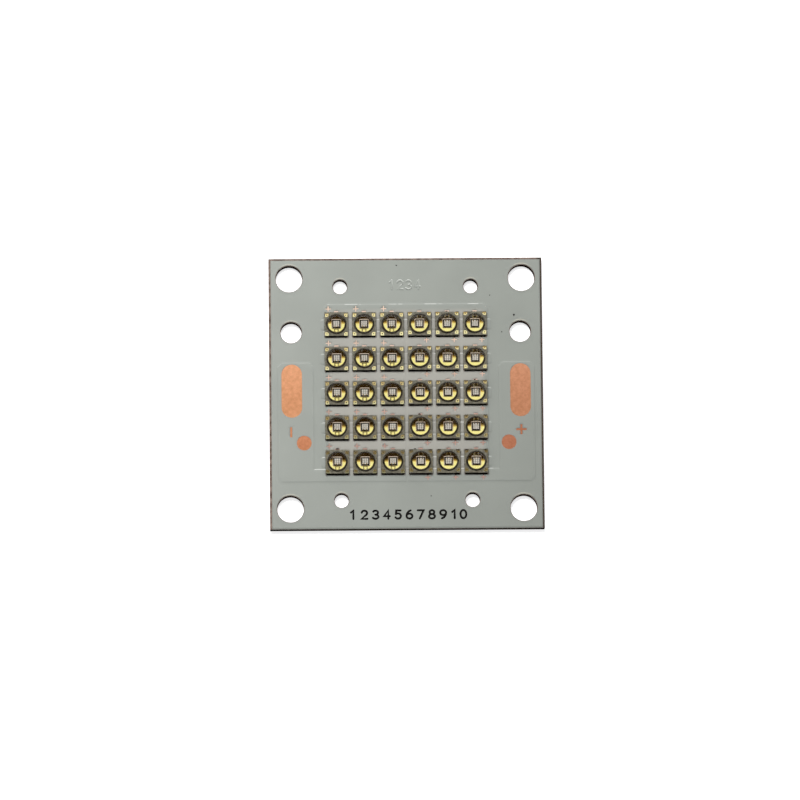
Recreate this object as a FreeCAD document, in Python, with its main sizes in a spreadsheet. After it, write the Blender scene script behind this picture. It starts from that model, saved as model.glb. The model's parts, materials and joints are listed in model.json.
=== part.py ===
"""LED array module: thirty domed ultraviolet LEDs on a copper-core board.

The board lies on its back, with its origin at the centre of the back face,
+Z out of the lit side and +Y towards the edge that has no legend. All
lengths are millimetres.
"""

import FreeCAD, Part
import math
import os
import Sketcher

ROWS = 5
DOME_SIDES = 8
DOME_STEPS = (0, 45, 90)

SIZES = {
    # Board and its fixing holes
    "board_side": 40.0,
    "core_thick": 1.5,
    "dielectric_thick": 0.10,
    "circuit_thick": 0.07,
    "mask_thick": 0.03,
    "mask_setback": 0.15,
    "corner_hole_edge": 3.0,
    "corner_hole_dia": 3.9,
    "side_hole_edge": 3.25,
    "side_hole_rise": 9.05,
    "side_hole_dia": 3.1,
    "lens_hole_across": 19.1,
    "lens_hole_gap": 1.65,
    "lens_hole_dia": 2.1,
    # Grid of LEDs
    "column_pitch": 4.05,
    "row_pitch": 5.08,
    "columns": 6,
    # Raised strips of the core that carry the heat
    "strip_width": 1.3,
    "strip_overhang": 0.45,
    "slot_clearance": 0.02,
    # Copper circuit
    "terminal_corner": 0.55,
    "terminal_edge": 1.33,
    "terminal_gap": 1.275,
    "terminal_top": 4.45,
    "top_bar_depth": 1.82,
    "bottom_bar_depth": 1.65,
    "circuit_overhang": 0.07,
    "centre_gap": 0.3,
    "groove_depth": 0.015,
    "land_border": 0.03,
    # Openings of the solder mask
    "window_inset": 0.07,
    "wire_pad_length": 7.85,
    "wire_pad_outer_edge": 0.47,
    "wire_pad_inner_edge": 1.60,
    "wire_pad_drop": 0.14,
    "test_pad_dia": 2.16,
    "test_pad_edge": 0.26,
    "test_pad_fall": 7.3,
    # Solder joints and lands under each package
    "solder_thick": 0.05,
    "land_margin": 0.10,
    "heat_land_width": 1.2,
    "signal_land_width": 0.5,
    # LED package
    "package_side": 3.5,
    "ceramic_thick": 0.60,
    "plating_thick": 0.03,
    "centre_pad_side": 2.05,
    "corner_pad_side": 0.5,
    "corner_pad_margin": 0.12,
    "die_side": 0.9,
    "die_thick": 0.12,
    "flange_thick": 0.12,
    "dome_radius": 1.43,
    "die_clearance": 0.005,
}

# Heights of the stack and places that several pieces share, as sums of cells
DIELECTRIC_BASE = "Sizes.core_thick"
CIRCUIT_BASE = "(Sizes.core_thick + Sizes.dielectric_thick)"
CIRCUIT_TOP = "(Sizes.core_thick + Sizes.dielectric_thick + Sizes.circuit_thick)"
CERAMIC_BASE = f"({CIRCUIT_TOP} + Sizes.solder_thick)"
CERAMIC_TOP = f"({CERAMIC_BASE} + Sizes.ceramic_thick)"
PLATING_TOP = f"({CERAMIC_TOP} + Sizes.plating_thick)"
FIRST_COLUMN = "(-(Sizes.columns - 1) / 2 * Sizes.column_pitch)"
FIELD_HALF = "((Sizes.columns - 1) / 2 * Sizes.column_pitch + Sizes.package_side / 2)"
CIRCUIT_HALF = f"({FIELD_HALF} + Sizes.circuit_overhang)"
LAND_INNER = "(Sizes.package_side / 2 - Sizes.land_margin - Sizes.signal_land_width - Sizes.land_border)"
TERMINAL_OUTER = "(Sizes.board_side / 2 - Sizes.terminal_edge)"
TERMINAL_INNER = f"({FIELD_HALF} + Sizes.strip_overhang + Sizes.terminal_gap)"
HALF_GAP = "(Sizes.centre_gap / 2)"
OUTER_ROW = f"({(ROWS - 1) / 2} * Sizes.row_pitch)"
BAR_INNER = f"({OUTER_ROW} + {LAND_INNER})"
CIRCUIT_HIGH = f"({BAR_INNER} + Sizes.top_bar_depth)"
CIRCUIT_LOW = f"(-{BAR_INNER} - Sizes.bottom_bar_depth)"
LENS_HOLE_RISE = f"({CIRCUIT_HIGH} + Sizes.lens_hole_gap + Sizes.lens_hole_dia / 2)"

# How closely an edge has to lie at a place to be the one that was meant
CLOSE = 1e-4

doc = FreeCAD.newDocument("LedArray")
sheet = doc.addObject("Spreadsheet::Sheet", "Sizes")
for line, (alias, size) in enumerate(SIZES.items(), start=1):
    sheet.set(f"A{line}", alias)
    sheet.set(f"B{line}", str(size))
    sheet.setAlias(f"B{line}", alias)
doc.recompute()


def row_place(row):
    """Height on the board of a row of LEDs, row 1 being the furthest up."""
    return f"({(ROWS - 1) / 2 - (row - 1)} * Sizes.row_pitch)"


def new_body(name):
    """A body that may hold several separate solids."""
    body = doc.addObject("PartDesign::Body", name)
    body.Label = name
    body.AllowCompound = True
    return body


def origin_feature(body, role):
    return next(part for part in body.Origin.OriginFeatures if part.Role == role)


def new_sketch(body, name, height):
    """A sketch that lies level at a height above the board's back."""
    sketch = body.newObject("Sketcher::SketchObject", name)
    sketch.AttachmentSupport = [(origin_feature(body, "XY_Plane"), "")]
    sketch.MapMode = "FlatFace"
    sketch.setExpression("AttachmentOffset.Base.z", height)
    return sketch


def bind(sketch, kind, where, expression):
    """Add one driving constraint and tie its value to the sheet."""
    index = sketch.addConstraint(Sketcher.Constraint(kind, *where, sketch.evalExpression(expression)))
    sketch.setExpression(f"Constraints[{index}]", expression)


def draw_outline(sketch, corners):
    """A closed loop of straight edges through corners given as expressions."""
    places = [FreeCAD.Vector(sketch.evalExpression(x), sketch.evalExpression(y), 0) for x, y in corners]
    first = sketch.GeometryCount
    count = len(corners)
    for index in range(count):
        sketch.addGeometry(Part.LineSegment(places[index], places[(index + 1) % count]), False)
    for index, (x, y) in enumerate(corners):
        following = first + (index + 1) % count
        sketch.addConstraint(Sketcher.Constraint("Coincident", first + index, 2, following, 1))
        bind(sketch, "DistanceX", (-1, 1, first + index, 1), x)
        bind(sketch, "DistanceY", (-1, 1, first + index, 1), y)


def draw_box(sketch, x, y, width, depth):
    """A rectangle about its centre."""
    left, right = f"{x} - {width} / 2", f"{x} + {width} / 2"
    low, high = f"{y} - {depth} / 2", f"{y} + {depth} / 2"
    draw_outline(sketch, [(left, low), (right, low), (right, high), (left, high)])


def draw_circle(sketch, x, y, diameter):
    centre = FreeCAD.Vector(sketch.evalExpression(x), sketch.evalExpression(y), 0)
    radius = sketch.evalExpression(f"{diameter} / 2")
    circle = sketch.addGeometry(Part.Circle(centre, FreeCAD.Vector(0, 0, 1), radius), False)
    bind(sketch, "DistanceX", (-1, 1, circle, 3), x)
    bind(sketch, "DistanceY", (-1, 1, circle, 3), y)
    bind(sketch, "Radius", (circle,), f"{diameter} / 2")


def pad(body, sketch, length):
    feature = body.newObject("PartDesign::Pad", f"{sketch.Name}_pad")
    feature.Profile = sketch
    feature.setExpression("Length", length)
    return feature


def pocket_through(body, sketch):
    """Cut a sketch through everything above and below it."""
    feature = body.newObject("PartDesign::Pocket", f"{sketch.Name}_cut")
    feature.Profile = sketch
    feature.Type = "ThroughAll"
    feature.SideType = "Symmetric"
    return feature


def repeat(body, features, name, along_x=None, along_y=None):
    """Repeat features in a line or a grid; each direction is a pair (count, pitch)."""
    pattern = body.newObject("PartDesign::LinearPattern", name)
    if features:
        pattern.Originals = features
    else:
        pattern.TransformMode = "Whole shape"
    spans = [("X_Axis", along_x), ("Y_Axis", along_y)]
    spans = [(role, span) for role, span in spans if span]
    for suffix, (role, (count, pitch)) in zip(("", "2"), spans):
        setattr(pattern, f"Direction{suffix}", (origin_feature(body, role), [""]))
        pattern.setExpression(f"Length{suffix}", f"({count} - 1) * {pitch}")
        pattern.setExpression(f"Occurrences{suffix}", count)
    body.Tip = pattern
    return pattern


def cut_corners(body, feature, places, size):
    """Cut the upright edges of a feature that stand at the given places at 45 degrees."""
    doc.recompute()
    names = []
    for x, y in places:
        at_x, at_y = feature.evalExpression(x), feature.evalExpression(y)
        for index, edge in enumerate(feature.Shape.Edges, start=1):
            box = edge.BoundBox
            upright = box.XLength < CLOSE and box.YLength < CLOSE
            if upright and abs(box.XMin - at_x) < CLOSE and abs(box.YMin - at_y) < CLOSE:
                names.append(f"Edge{index}")
    chamfer = body.newObject("PartDesign::Chamfer", f"{feature.Name}_corners")
    chamfer.Base = (feature, names)
    chamfer.setExpression("Size", size)
    return chamfer


def copy_to_row(master, name, row):
    """The same pieces again, set at a row of LEDs."""
    copy = doc.addObject("Part::Compound", name)
    copy.Label = name
    copy.Links = [master]
    copy.setExpression("Placement.Base.y", row_place(row))
    return copy


def drill_holes(body, name):
    """Fixing holes that go through every layer of the board."""
    sketch = new_sketch(body, name, "0")
    corner = "(Sizes.board_side / 2 - Sizes.corner_hole_edge)"
    for side_x in (-1, 1):
        for side_y in (-1, 1):
            draw_circle(sketch, f"{side_x} * {corner}", f"{side_y} * {corner}", "Sizes.corner_hole_dia")
            draw_circle(sketch, f"{side_x} * Sizes.lens_hole_across / 2", f"{side_y} * {LENS_HOLE_RISE}",
                        "Sizes.lens_hole_dia")
        draw_circle(sketch, f"{side_x} * (Sizes.board_side / 2 - Sizes.side_hole_edge)",
                    "Sizes.side_hole_rise", "Sizes.side_hole_dia")
    return pocket_through(body, sketch)


def draw_strip(sketch, grow):
    """One raised strip, drawn at the lowest row and widened all round by grow."""
    draw_box(sketch, "0", row_place(ROWS), f"(2 * ({FIELD_HALF} + Sizes.strip_overhang + {grow}))",
             f"(Sizes.strip_width + 2 * {grow})")


def make_core_plate():
    """Copper plate with a raised strip under every row of LEDs."""
    body = new_body("core_plate")
    outline = new_sketch(body, "core_outline", "0")
    draw_box(outline, "0", "0", "Sizes.board_side", "Sizes.board_side")
    pad(body, outline, "Sizes.core_thick")
    strip = new_sketch(body, "core_strip", "Sizes.core_thick")
    draw_strip(strip, "0")
    raised = pad(body, strip, "Sizes.dielectric_thick + Sizes.circuit_thick")
    repeat(body, [raised], "core_strips", along_y=(str(ROWS), "Sizes.row_pitch"))
    body.Tip = drill_holes(body, "core_holes")
    return body


def make_dielectric_layer():
    """Insulating sheet between core and circuit, slotted for the strips."""
    body = new_body("dielectric_layer")
    outline = new_sketch(body, "dielectric_outline", DIELECTRIC_BASE)
    draw_box(outline, "0", "0", "Sizes.board_side", "Sizes.board_side")
    pad(body, outline, "Sizes.dielectric_thick")
    slot = new_sketch(body, "dielectric_slot", DIELECTRIC_BASE)
    draw_strip(slot, "Sizes.slot_clearance")
    cut = pocket_through(body, slot)
    repeat(body, [cut], "dielectric_slots", along_y=(str(ROWS), "Sizes.row_pitch"))
    body.Tip = drill_holes(body, "dielectric_holes")
    return body


def terminal_island(side):
    """Corners of the L that joins a wire pad to the lowest row.

    Each corner is (x, y, way out along x, way out along y, cut off).
    """
    return [
        (f"{side} * {TERMINAL_OUTER}", "Sizes.terminal_top", side, 1, True),
        (f"{side} * {TERMINAL_INNER}", "Sizes.terminal_top", -side, 1, True),
        (f"{side} * {TERMINAL_INNER}", f"-{BAR_INNER}", -side, 1, False),
        (f"{side} * {HALF_GAP}", f"-{BAR_INNER}", -side, 1, False),
        (f"{side} * {HALF_GAP}", CIRCUIT_LOW, -side, -1, False),
        (f"{side} * {TERMINAL_OUTER}", CIRCUIT_LOW, side, -1, True),
    ]


def top_island():
    """Corners of the island that joins the two halves above the first row."""
    return [
        (f"-{CIRCUIT_HALF}", BAR_INNER, -1, -1, False),
        (CIRCUIT_HALF, BAR_INNER, 1, -1, False),
        (CIRCUIT_HALF, CIRCUIT_HIGH, 1, 1, True),
        (f"-{CIRCUIT_HALF}", CIRCUIT_HIGH, -1, 1, True),
    ]


def whole_field():
    """Corners of the area over which the coat lies level, from the top island down."""
    return [
        (f"-{CIRCUIT_HALF}", CIRCUIT_LOW, -1, -1, False),
        (CIRCUIT_HALF, CIRCUIT_LOW, 1, -1, False),
        (CIRCUIT_HALF, CIRCUIT_HIGH, 1, 1, True),
        (f"-{CIRCUIT_HALF}", CIRCUIT_HIGH, -1, 1, True),
    ]


def rows_field():
    """Corners of the area under the rows, where the coat's underside lies level."""
    return [
        (f"-{CIRCUIT_HALF}", f"-{BAR_INNER}", -1, -1, False),
        (CIRCUIT_HALF, f"-{BAR_INNER}", 1, -1, False),
        (CIRCUIT_HALF, BAR_INNER, 1, 1, False),
        (f"-{CIRCUIT_HALF}", BAR_INNER, -1, 1, False),
    ]


def link_island(side, row):
    """Corners of the island between a row and the next one down, on one half."""
    high = f"{row_place(row)} - {LAND_INNER}"
    low = f"{row_place(row + 1)} + {LAND_INNER}"
    return [
        (f"{side} * {HALF_GAP}", low, -side, -1, False),
        (f"{side} * {CIRCUIT_HALF}", low, side, -1, False),
        (f"{side} * {CIRCUIT_HALF}", high, side, 1, False),
        (f"{side} * {HALF_GAP}", high, -side, 1, False),
    ]


def add_island(body, name, corners, thick, grow="0"):
    """Pad one island of the circuit, widened all round by grow."""
    sketch = new_sketch(body, f"{name}_outline", CIRCUIT_BASE)
    grown = [(f"{x} + {out_x} * {grow}", f"{y} + {out_y} * {grow}") for x, y, out_x, out_y, _ in corners]
    draw_outline(sketch, grown)
    feature = pad(body, sketch, thick)
    cut = [place for place, corner in zip(grown, corners) if corner[4]]
    if cut:
        feature = cut_corners(body, feature, cut, f"Sizes.terminal_corner + {grow} * (2 - sqrt(2))")
    return feature


def list_islands():
    """Every island of the circuit by name, in the order the current takes."""
    islands = {"circuit_minus": terminal_island(-1)}
    for link in range(ROWS - 1, 0, -1):
        islands[f"circuit_left_{link}"] = link_island(-1, link)
    islands["circuit_top"] = top_island()
    for link in range(1, ROWS):
        islands[f"circuit_right_{link}"] = link_island(1, link)
    islands["circuit_plus"] = terminal_island(1)
    return islands


def make_circuit():
    pieces = []
    for name, corners in list_islands().items():
        body = new_body(name)
        body.Tip = add_island(body, name, corners, "Sizes.circuit_thick")
        pieces.append(body)
    return pieces


def draw_wire_pad(sketch, side):
    """Long opening with round ends over a terminal."""
    outer = f"({TERMINAL_OUTER} - Sizes.wire_pad_outer_edge)"
    inner = f"({TERMINAL_INNER} + Sizes.wire_pad_inner_edge)"
    x = f"{side} * ({outer} + {inner}) / 2"
    radius = f"({outer} - {inner}) / 2"
    high = f"Sizes.terminal_top - Sizes.wire_pad_drop - {radius}"
    low = f"{high} - (Sizes.wire_pad_length - 2 * {radius})"
    at_x, at_high, at_low, size = (sketch.evalExpression(text) for text in (x, high, low, radius))
    up = FreeCAD.Vector(0, 0, 1)
    upper = Part.Circle(FreeCAD.Vector(at_x, at_high, 0), up, size)
    lower = Part.Circle(FreeCAD.Vector(at_x, at_low, 0), up, size)
    head = sketch.addGeometry(Part.ArcOfCircle(upper, 0, math.pi), False)
    foot = sketch.addGeometry(Part.ArcOfCircle(lower, math.pi, 2 * math.pi), False)
    left = sketch.addGeometry(Part.LineSegment(FreeCAD.Vector(at_x - size, at_high, 0),
                                               FreeCAD.Vector(at_x - size, at_low, 0)), False)
    right = sketch.addGeometry(Part.LineSegment(FreeCAD.Vector(at_x + size, at_low, 0),
                                                FreeCAD.Vector(at_x + size, at_high, 0)), False)
    for first, end, second, start in ((head, 2, left, 1), (left, 2, foot, 1),
                                      (foot, 2, right, 1), (right, 2, head, 1)):
        sketch.addConstraint(Sketcher.Constraint("Tangent", first, end, second, start))
    bind(sketch, "DistanceX", (-1, 1, head, 3), x)
    bind(sketch, "DistanceY", (-1, 1, head, 3), high)
    bind(sketch, "DistanceY", (-1, 1, foot, 3), low)
    bind(sketch, "Radius", (head,), radius)


def draw_centre_groove(sketch):
    """Line along which the coat sags over the gap between the two halves of the circuit."""
    draw_outline(sketch, [(f"-{HALF_GAP}", CIRCUIT_LOW), (HALF_GAP, CIRCUIT_LOW), (HALF_GAP, BAR_INNER),
                          (f"-{HALF_GAP}", BAR_INNER)])


def make_solder_mask(core, circuit):
    """Thin coat that follows the circuit's relief, open at pads and packages.

    Over the rows it bridges the narrow gaps beside the strips.
    """
    blank = new_body("mask_blank")
    outline = new_sketch(blank, "mask_outline", CIRCUIT_BASE)
    side = "(Sizes.board_side - 2 * Sizes.mask_setback)"
    draw_box(outline, "0", "0", side, side)
    pad(blank, outline, "Sizes.mask_thick")
    cap = "Sizes.circuit_thick + Sizes.mask_thick"
    raised_areas = {"field": whole_field(), "minus": terminal_island(-1), "plus": terminal_island(1)}
    for name, corners in raised_areas.items():
        add_island(blank, f"cap_{name}", corners, cap, "Sizes.mask_thick")
    strip = new_sketch(blank, "cap_strip", CIRCUIT_BASE)
    draw_strip(strip, "Sizes.mask_thick")
    raised = pad(blank, strip, cap)
    repeat(blank, [raised], "cap_strips", along_y=(str(ROWS), "Sizes.row_pitch"))
    groove = new_sketch(blank, "centre_groove", f"{CIRCUIT_TOP} + Sizes.mask_thick")
    draw_centre_groove(groove)
    sunk = blank.newObject("PartDesign::Pocket", "centre_groove_cut")
    sunk.Profile = groove
    sunk.setExpression("Length", "Sizes.groove_depth")
    window = new_sketch(blank, "led_window", CIRCUIT_BASE)
    opening = "(Sizes.package_side - 2 * Sizes.window_inset)"
    draw_box(window, FIRST_COLUMN, row_place(ROWS), opening, opening)
    opened = pocket_through(blank, window)
    repeat(blank, [opened], "led_windows", along_x=("Sizes.columns", "Sizes.column_pitch"),
           along_y=(str(ROWS), "Sizes.row_pitch"))
    pads = new_sketch(blank, "pad_windows", CIRCUIT_BASE)
    for side in (-1, 1):
        draw_wire_pad(pads, side)
        draw_circle(pads, f"{side} * ({TERMINAL_INNER} + Sizes.test_pad_edge + Sizes.test_pad_dia / 2)",
                    "-Sizes.test_pad_fall", "Sizes.test_pad_dia")
    pocket_through(blank, pads)
    blank.Tip = drill_holes(blank, "mask_holes")
    level = new_body("mask_level")
    level.Tip = add_island(level, "rows_field", rows_field(), "Sizes.circuit_thick")
    underneath = doc.addObject("Part::MultiFuse", "mask_underside")
    underneath.Shapes = [core, level] + circuit
    mask = doc.addObject("Part::Cut", "solder_mask")
    mask.Label = "solder_mask"
    mask.Base = blank
    mask.Tool = underneath
    return mask


def new_led_body(name):
    """A body whose pieces are drawn for the first LED of a row and set there."""
    body = new_body(name)
    body.setExpression("Placement.Base.x", FIRST_COLUMN)
    return body


def repeat_along_row(body, features, name):
    return repeat(body, features, name, along_x=("Sizes.columns", "Sizes.column_pitch"))


def make_substrates():
    """Square ceramic base of each LED in one row."""
    body = new_led_body("substrate_master")
    sketch = new_sketch(body, "ceramic", CERAMIC_BASE)
    draw_box(sketch, "0", "0", "Sizes.package_side", "Sizes.package_side")
    repeat_along_row(body, [pad(body, sketch, "Sizes.ceramic_thick")], "ceramics")
    return body


def make_solder():
    """Solder joint between each LED's heat land and the raised strip."""
    body = new_led_body("solder_master")
    sketch = new_sketch(body, "joint", CIRCUIT_TOP)
    draw_box(sketch, "0", "0", "(Sizes.package_side - 2 * Sizes.land_margin)", "Sizes.heat_land_width")
    repeat_along_row(body, [pad(body, sketch, "Sizes.solder_thick")], "joints")
    return body


def make_plating():
    """Gold lands on top of each LED: a centre pad and four corner marks.

    Two of the marks are square and two are triangles. The LEDs of the right
    half are turned end for end, so their triangles are at the lower edge.
    """
    body = new_led_body("plating_master")
    inner = "(Sizes.package_side / 2 - Sizes.corner_pad_margin - Sizes.corner_pad_side)"
    outer = "(Sizes.package_side / 2 - Sizes.corner_pad_margin)"
    halves = [("lands_left", "0", 1), ("lands_right", "(Sizes.columns / 2 * Sizes.column_pitch)", -1)]
    for name, x, turn in halves:
        sketch = new_sketch(body, name, CERAMIC_TOP)
        draw_box(sketch, x, "0", "Sizes.centre_pad_side", "Sizes.centre_pad_side")
        for side in (-1, 1):
            near, far = f"{x} + {side} * {inner}", f"{x} + {side} * {outer}"
            draw_outline(sketch, [(near, f"{turn} * {inner}"), (far, f"{turn} * {inner}"),
                                  (near, f"{turn} * {outer}")])
            draw_outline(sketch, [(near, f"{-turn} * {inner}"), (far, f"{-turn} * {inner}"),
                                  (far, f"{-turn} * {outer}"), (near, f"{-turn} * {outer}")])
        lands = pad(body, sketch, "Sizes.plating_thick")
        repeat(body, [lands], f"{name}_row", along_x=("Sizes.columns / 2", "Sizes.column_pitch"))
    return body


def make_dies():
    """Light-emitting chip on the centre pad of each LED."""
    body = new_led_body("die_master")
    sketch = new_sketch(body, "die", PLATING_TOP)
    draw_box(sketch, "0", "0", "Sizes.die_side", "Sizes.die_side")
    repeat_along_row(body, [pad(body, sketch, "Sizes.die_thick")], "dies")
    return body


def make_lenses():
    """Square flange with a domed lens, hollowed underneath for the chip.

    The dome is faceted like a cut stone: one side is cut away in steps whose
    corners lie on the sphere, and the cut is repeated all round.
    """
    body = new_led_body("lens_master")
    blank = new_sketch(body, "dome_blank", PLATING_TOP)
    draw_box(blank, "0", "0", "(2 * Sizes.dome_radius)", "(2 * Sizes.dome_radius)")
    pad(body, blank, "Sizes.dome_radius")
    side_view = body.newObject("Sketcher::SketchObject", "dome_facets")
    side_view.AttachmentSupport = [(origin_feature(body, "XZ_Plane"), "")]
    side_view.MapMode = "FlatFace"
    flat = f"cos({180 / DOME_SIDES} deg)"
    steps = [(f"Sizes.dome_radius * {flat} * cos({angle} deg)",
              f"{PLATING_TOP} + Sizes.dome_radius * sin({angle} deg)") for angle in DOME_STEPS]
    beyond = "2 * Sizes.dome_radius"
    draw_outline(side_view, steps + [(beyond, steps[-1][1]), (beyond, steps[0][1])])
    cut = pocket_through(body, side_view)
    round_the_dome = body.newObject("PartDesign::PolarPattern", "dome_cuts")
    round_the_dome.Originals = [cut]
    round_the_dome.Axis = (origin_feature(body, "Z_Axis"), [""])
    round_the_dome.Occurrences = DOME_SIDES
    round_the_dome.Angle = 360
    body.Tip = round_the_dome
    flange = new_sketch(body, "flange", PLATING_TOP)
    draw_box(flange, "0", "0", "Sizes.package_side", "Sizes.package_side")
    pad(body, flange, "Sizes.flange_thick")
    hollow = new_sketch(body, "die_hollow", PLATING_TOP)
    width = "(Sizes.die_side + 2 * Sizes.die_clearance)"
    draw_box(hollow, "0", "0", width, width)
    opened = body.newObject("PartDesign::Pocket", "die_hollow_cut")
    opened.Profile = hollow
    opened.Reversed = True
    opened.setExpression("Length", "Sizes.die_thick + Sizes.die_clearance")
    doc.recompute()
    repeat_along_row(body, [], "lenses")
    return body


core_plate = make_core_plate()
dielectric_layer = make_dielectric_layer()
circuit_pieces = make_circuit()
solder_mask = make_solder_mask(core_plate, circuit_pieces)
pieces = [core_plate, dielectric_layer] + circuit_pieces + [solder_mask]

masters = {
    "solder": make_solder(),
    "substrate": make_substrates(),
    "plating": make_plating(),
    "die": make_dies(),
    "lens": make_lenses(),
}
for row in range(1, ROWS + 1):
    for kind, master in masters.items():
        pieces.append(copy_to_row(master, f"led_{kind}_row_{row}", row))

doc.recompute()
for item in doc.Objects:
    if "Invalid" in item.State or "Error" in item.State:
        raise RuntimeError(f"{item.Label} did not build: {item.State}")
os.makedirs("parts", exist_ok=True)
for piece in pieces:
    if piece.Shape.isNull() or not piece.Shape.isValid():
        raise RuntimeError(f"{piece.Label} is not a valid shape")
    piece.Shape.exportStep(f"parts/{piece.Label}.step")
    print(f"{piece.Label}: {len(piece.Shape.Solids)} solids, {piece.Shape.Volume:.4f} mm3")
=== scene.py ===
"""Looks of an LED array module: thirty domed LEDs on a coated copper-core board.

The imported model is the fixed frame, and every piece lies where the frame says. Lengths are in metres
where nothing else is said. The board lies on its back, +Z out of the lit side, +Y towards the edge
without a legend.
"""

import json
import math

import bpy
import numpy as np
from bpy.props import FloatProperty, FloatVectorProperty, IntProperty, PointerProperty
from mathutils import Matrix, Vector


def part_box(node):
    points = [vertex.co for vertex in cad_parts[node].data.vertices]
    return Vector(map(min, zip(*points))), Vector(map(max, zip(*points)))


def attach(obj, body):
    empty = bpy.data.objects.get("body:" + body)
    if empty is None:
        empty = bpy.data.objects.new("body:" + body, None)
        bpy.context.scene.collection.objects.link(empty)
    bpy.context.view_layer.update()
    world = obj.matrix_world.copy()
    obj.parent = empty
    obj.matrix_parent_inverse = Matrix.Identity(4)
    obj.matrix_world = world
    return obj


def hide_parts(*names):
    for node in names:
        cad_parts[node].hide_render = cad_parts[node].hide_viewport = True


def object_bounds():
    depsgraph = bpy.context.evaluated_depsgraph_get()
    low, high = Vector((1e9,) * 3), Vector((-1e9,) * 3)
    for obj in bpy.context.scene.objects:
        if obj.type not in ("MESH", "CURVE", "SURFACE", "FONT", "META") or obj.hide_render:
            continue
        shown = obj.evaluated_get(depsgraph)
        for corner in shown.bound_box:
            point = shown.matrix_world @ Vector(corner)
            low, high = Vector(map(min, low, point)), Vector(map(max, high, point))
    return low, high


bl_info = {
    "name": "LED Array Module",
    "version": (1, 0, 0),
    "blender": (4, 5, 0),
    "location": "3D View > Sidebar > LED Array",
    "description": "Builds the finished surfaces of an LED array module round its packed model",
    "category": "Add Mesh",
}

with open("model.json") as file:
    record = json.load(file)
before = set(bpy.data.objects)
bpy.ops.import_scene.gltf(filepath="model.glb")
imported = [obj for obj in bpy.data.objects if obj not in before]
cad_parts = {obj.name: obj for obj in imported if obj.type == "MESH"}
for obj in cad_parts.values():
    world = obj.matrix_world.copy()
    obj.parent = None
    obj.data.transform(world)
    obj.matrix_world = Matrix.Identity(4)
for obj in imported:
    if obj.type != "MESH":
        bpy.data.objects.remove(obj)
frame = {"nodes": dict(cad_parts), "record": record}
CAD_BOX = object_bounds()

MM = 0.001
ROWS = (1, 2, 3, 4, 5)
COLUMNS = 6
TURNED_FROM = 3

BOARD_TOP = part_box("dielectric_layer")[1].z
COPPER_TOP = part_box("circuit_top")[1].z
COAT_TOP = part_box("solder_mask")[1].z
CERAMIC_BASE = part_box("led_substrate_row_1")[0].z
CERAMIC_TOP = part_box("led_substrate_row_1")[1].z
GOLD_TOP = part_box("led_plating_row_1")[1].z
CHIP_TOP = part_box("led_die_row_1")[1].z
DOME_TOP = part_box("led_lens_row_1")[1].z
PACKAGE_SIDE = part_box("led_substrate_row_1")[1].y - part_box("led_substrate_row_1")[0].y
CHIP_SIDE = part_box("led_die_row_1")[1].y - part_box("led_die_row_1")[0].y

# Openings of the coat that the record doesn't hold: wire pads, test pads and the signs beside them
WIRE_PAD_X = 16.70 * MM
WIRE_PAD_RADIUS = 1.50 * MM
WIRE_PAD_HIGH = 2.81 * MM
WIRE_PAD_LOW = -2.04 * MM
TEST_PAD_X = 14.94 * MM
TEST_PAD_Y = -7.30 * MM
TEST_PAD_RADIUS = 1.08 * MM
MINUS_PLACE = (-16.82 * MM, -5.69 * MM)
PLUS_PLACE = (16.77 * MM, -5.46 * MM)
SIGN_LENGTH = 1.50 * MM
SIGN_LINE = 0.29 * MM
# Marks beside each LED, from its centre
DASH_RISE = 1.93 * MM
PLUS_LEFT = (-1.18 * MM, 2.36 * MM)
PLUS_RIGHT = (1.03 * MM, -2.29 * MM)
# Grid of the coat
SAME_LINE = 0.004 * MM
HOLE_MARGIN = 0.32 * MM
PAD_MARGIN = 0.14 * MM
RING_SHARES = (0.2, 0.4, 0.6, 0.8, 1.0)
FALL_LINES = 3
COAT_SHARE = 0.9
# Figures: their text, their width and height, and their middle
LEGEND = "1 2 3 4 5 6 7 8 9 10"
LEGEND_SIZE = (17.2 * MM, 1.50 * MM)
LEGEND_PLACE = (0.13 * MM, -17.90 * MM)
LEGEND_STROKE = 0.30 * MM
PRINT_THICK = 0.012 * MM
RAISED = "1234"
RAISED_SIZE = (4.84 * MM, 1.59 * MM)
RAISED_PLACE = (-0.12 * MM, 16.05 * MM)
RAISED_STROKE = 0.27 * MM
RAISED_THICK = 0.055 * MM
STROKE_SUNK = 0.01 * MM
BEND_STEP = 15
MITER_LIMIT = 1.8
STROKE_ENDS = np.radians((80, 55, 30))
STROKE_ARCH = np.radians(np.linspace(-90, 90, 9))
# Each figure's strokes in a cell 0.6 wide and 1 high: straight runs as corners, bends as the middle, the half
# width, the half height and the first and last angle of an arc
FIGURES = {
    "0": [("bend", 0.30, 0.50, 0.30, 0.50, 90, 450)],
    "1": [("run", (0.08, 0.78), (0.32, 1.0), (0.32, 0.0))],
    "2": [("bend", 0.30, 0.71, 0.28, 0.29, 170, -30), ("run", (0.54, 0.56), (0.02, 0.0), (0.60, 0.0))],
    "3": [("bend", 0.28, 0.75, 0.26, 0.25, 150, -90), ("bend", 0.28, 0.25, 0.30, 0.25, 90, -150)],
    "4": [("run", (0.44, 0.0), (0.44, 1.0), (0.0, 0.30), (0.60, 0.30))],
    "5": [("run", (0.54, 1.0), (0.10, 1.0), (0.06, 0.55)), ("bend", 0.28, 0.32, 0.30, 0.32, 135, -150)],
    "6": [("bend", 0.30, 0.30, 0.30, 0.30, 0, 360), ("bend", 0.52, 0.30, 0.52, 0.70, 180, 100)],
    "7": [("run", (0.0, 1.0), (0.60, 1.0), (0.20, 0.0))],
    "8": [("bend", 0.30, 0.76, 0.24, 0.24, 0, 360), ("bend", 0.30, 0.26, 0.30, 0.26, 0, 360)],
    "9": [("bend", 0.30, 0.70, 0.30, 0.30, 0, 360), ("bend", 0.08, 0.70, 0.52, 0.70, 0, -80)],
}
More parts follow.
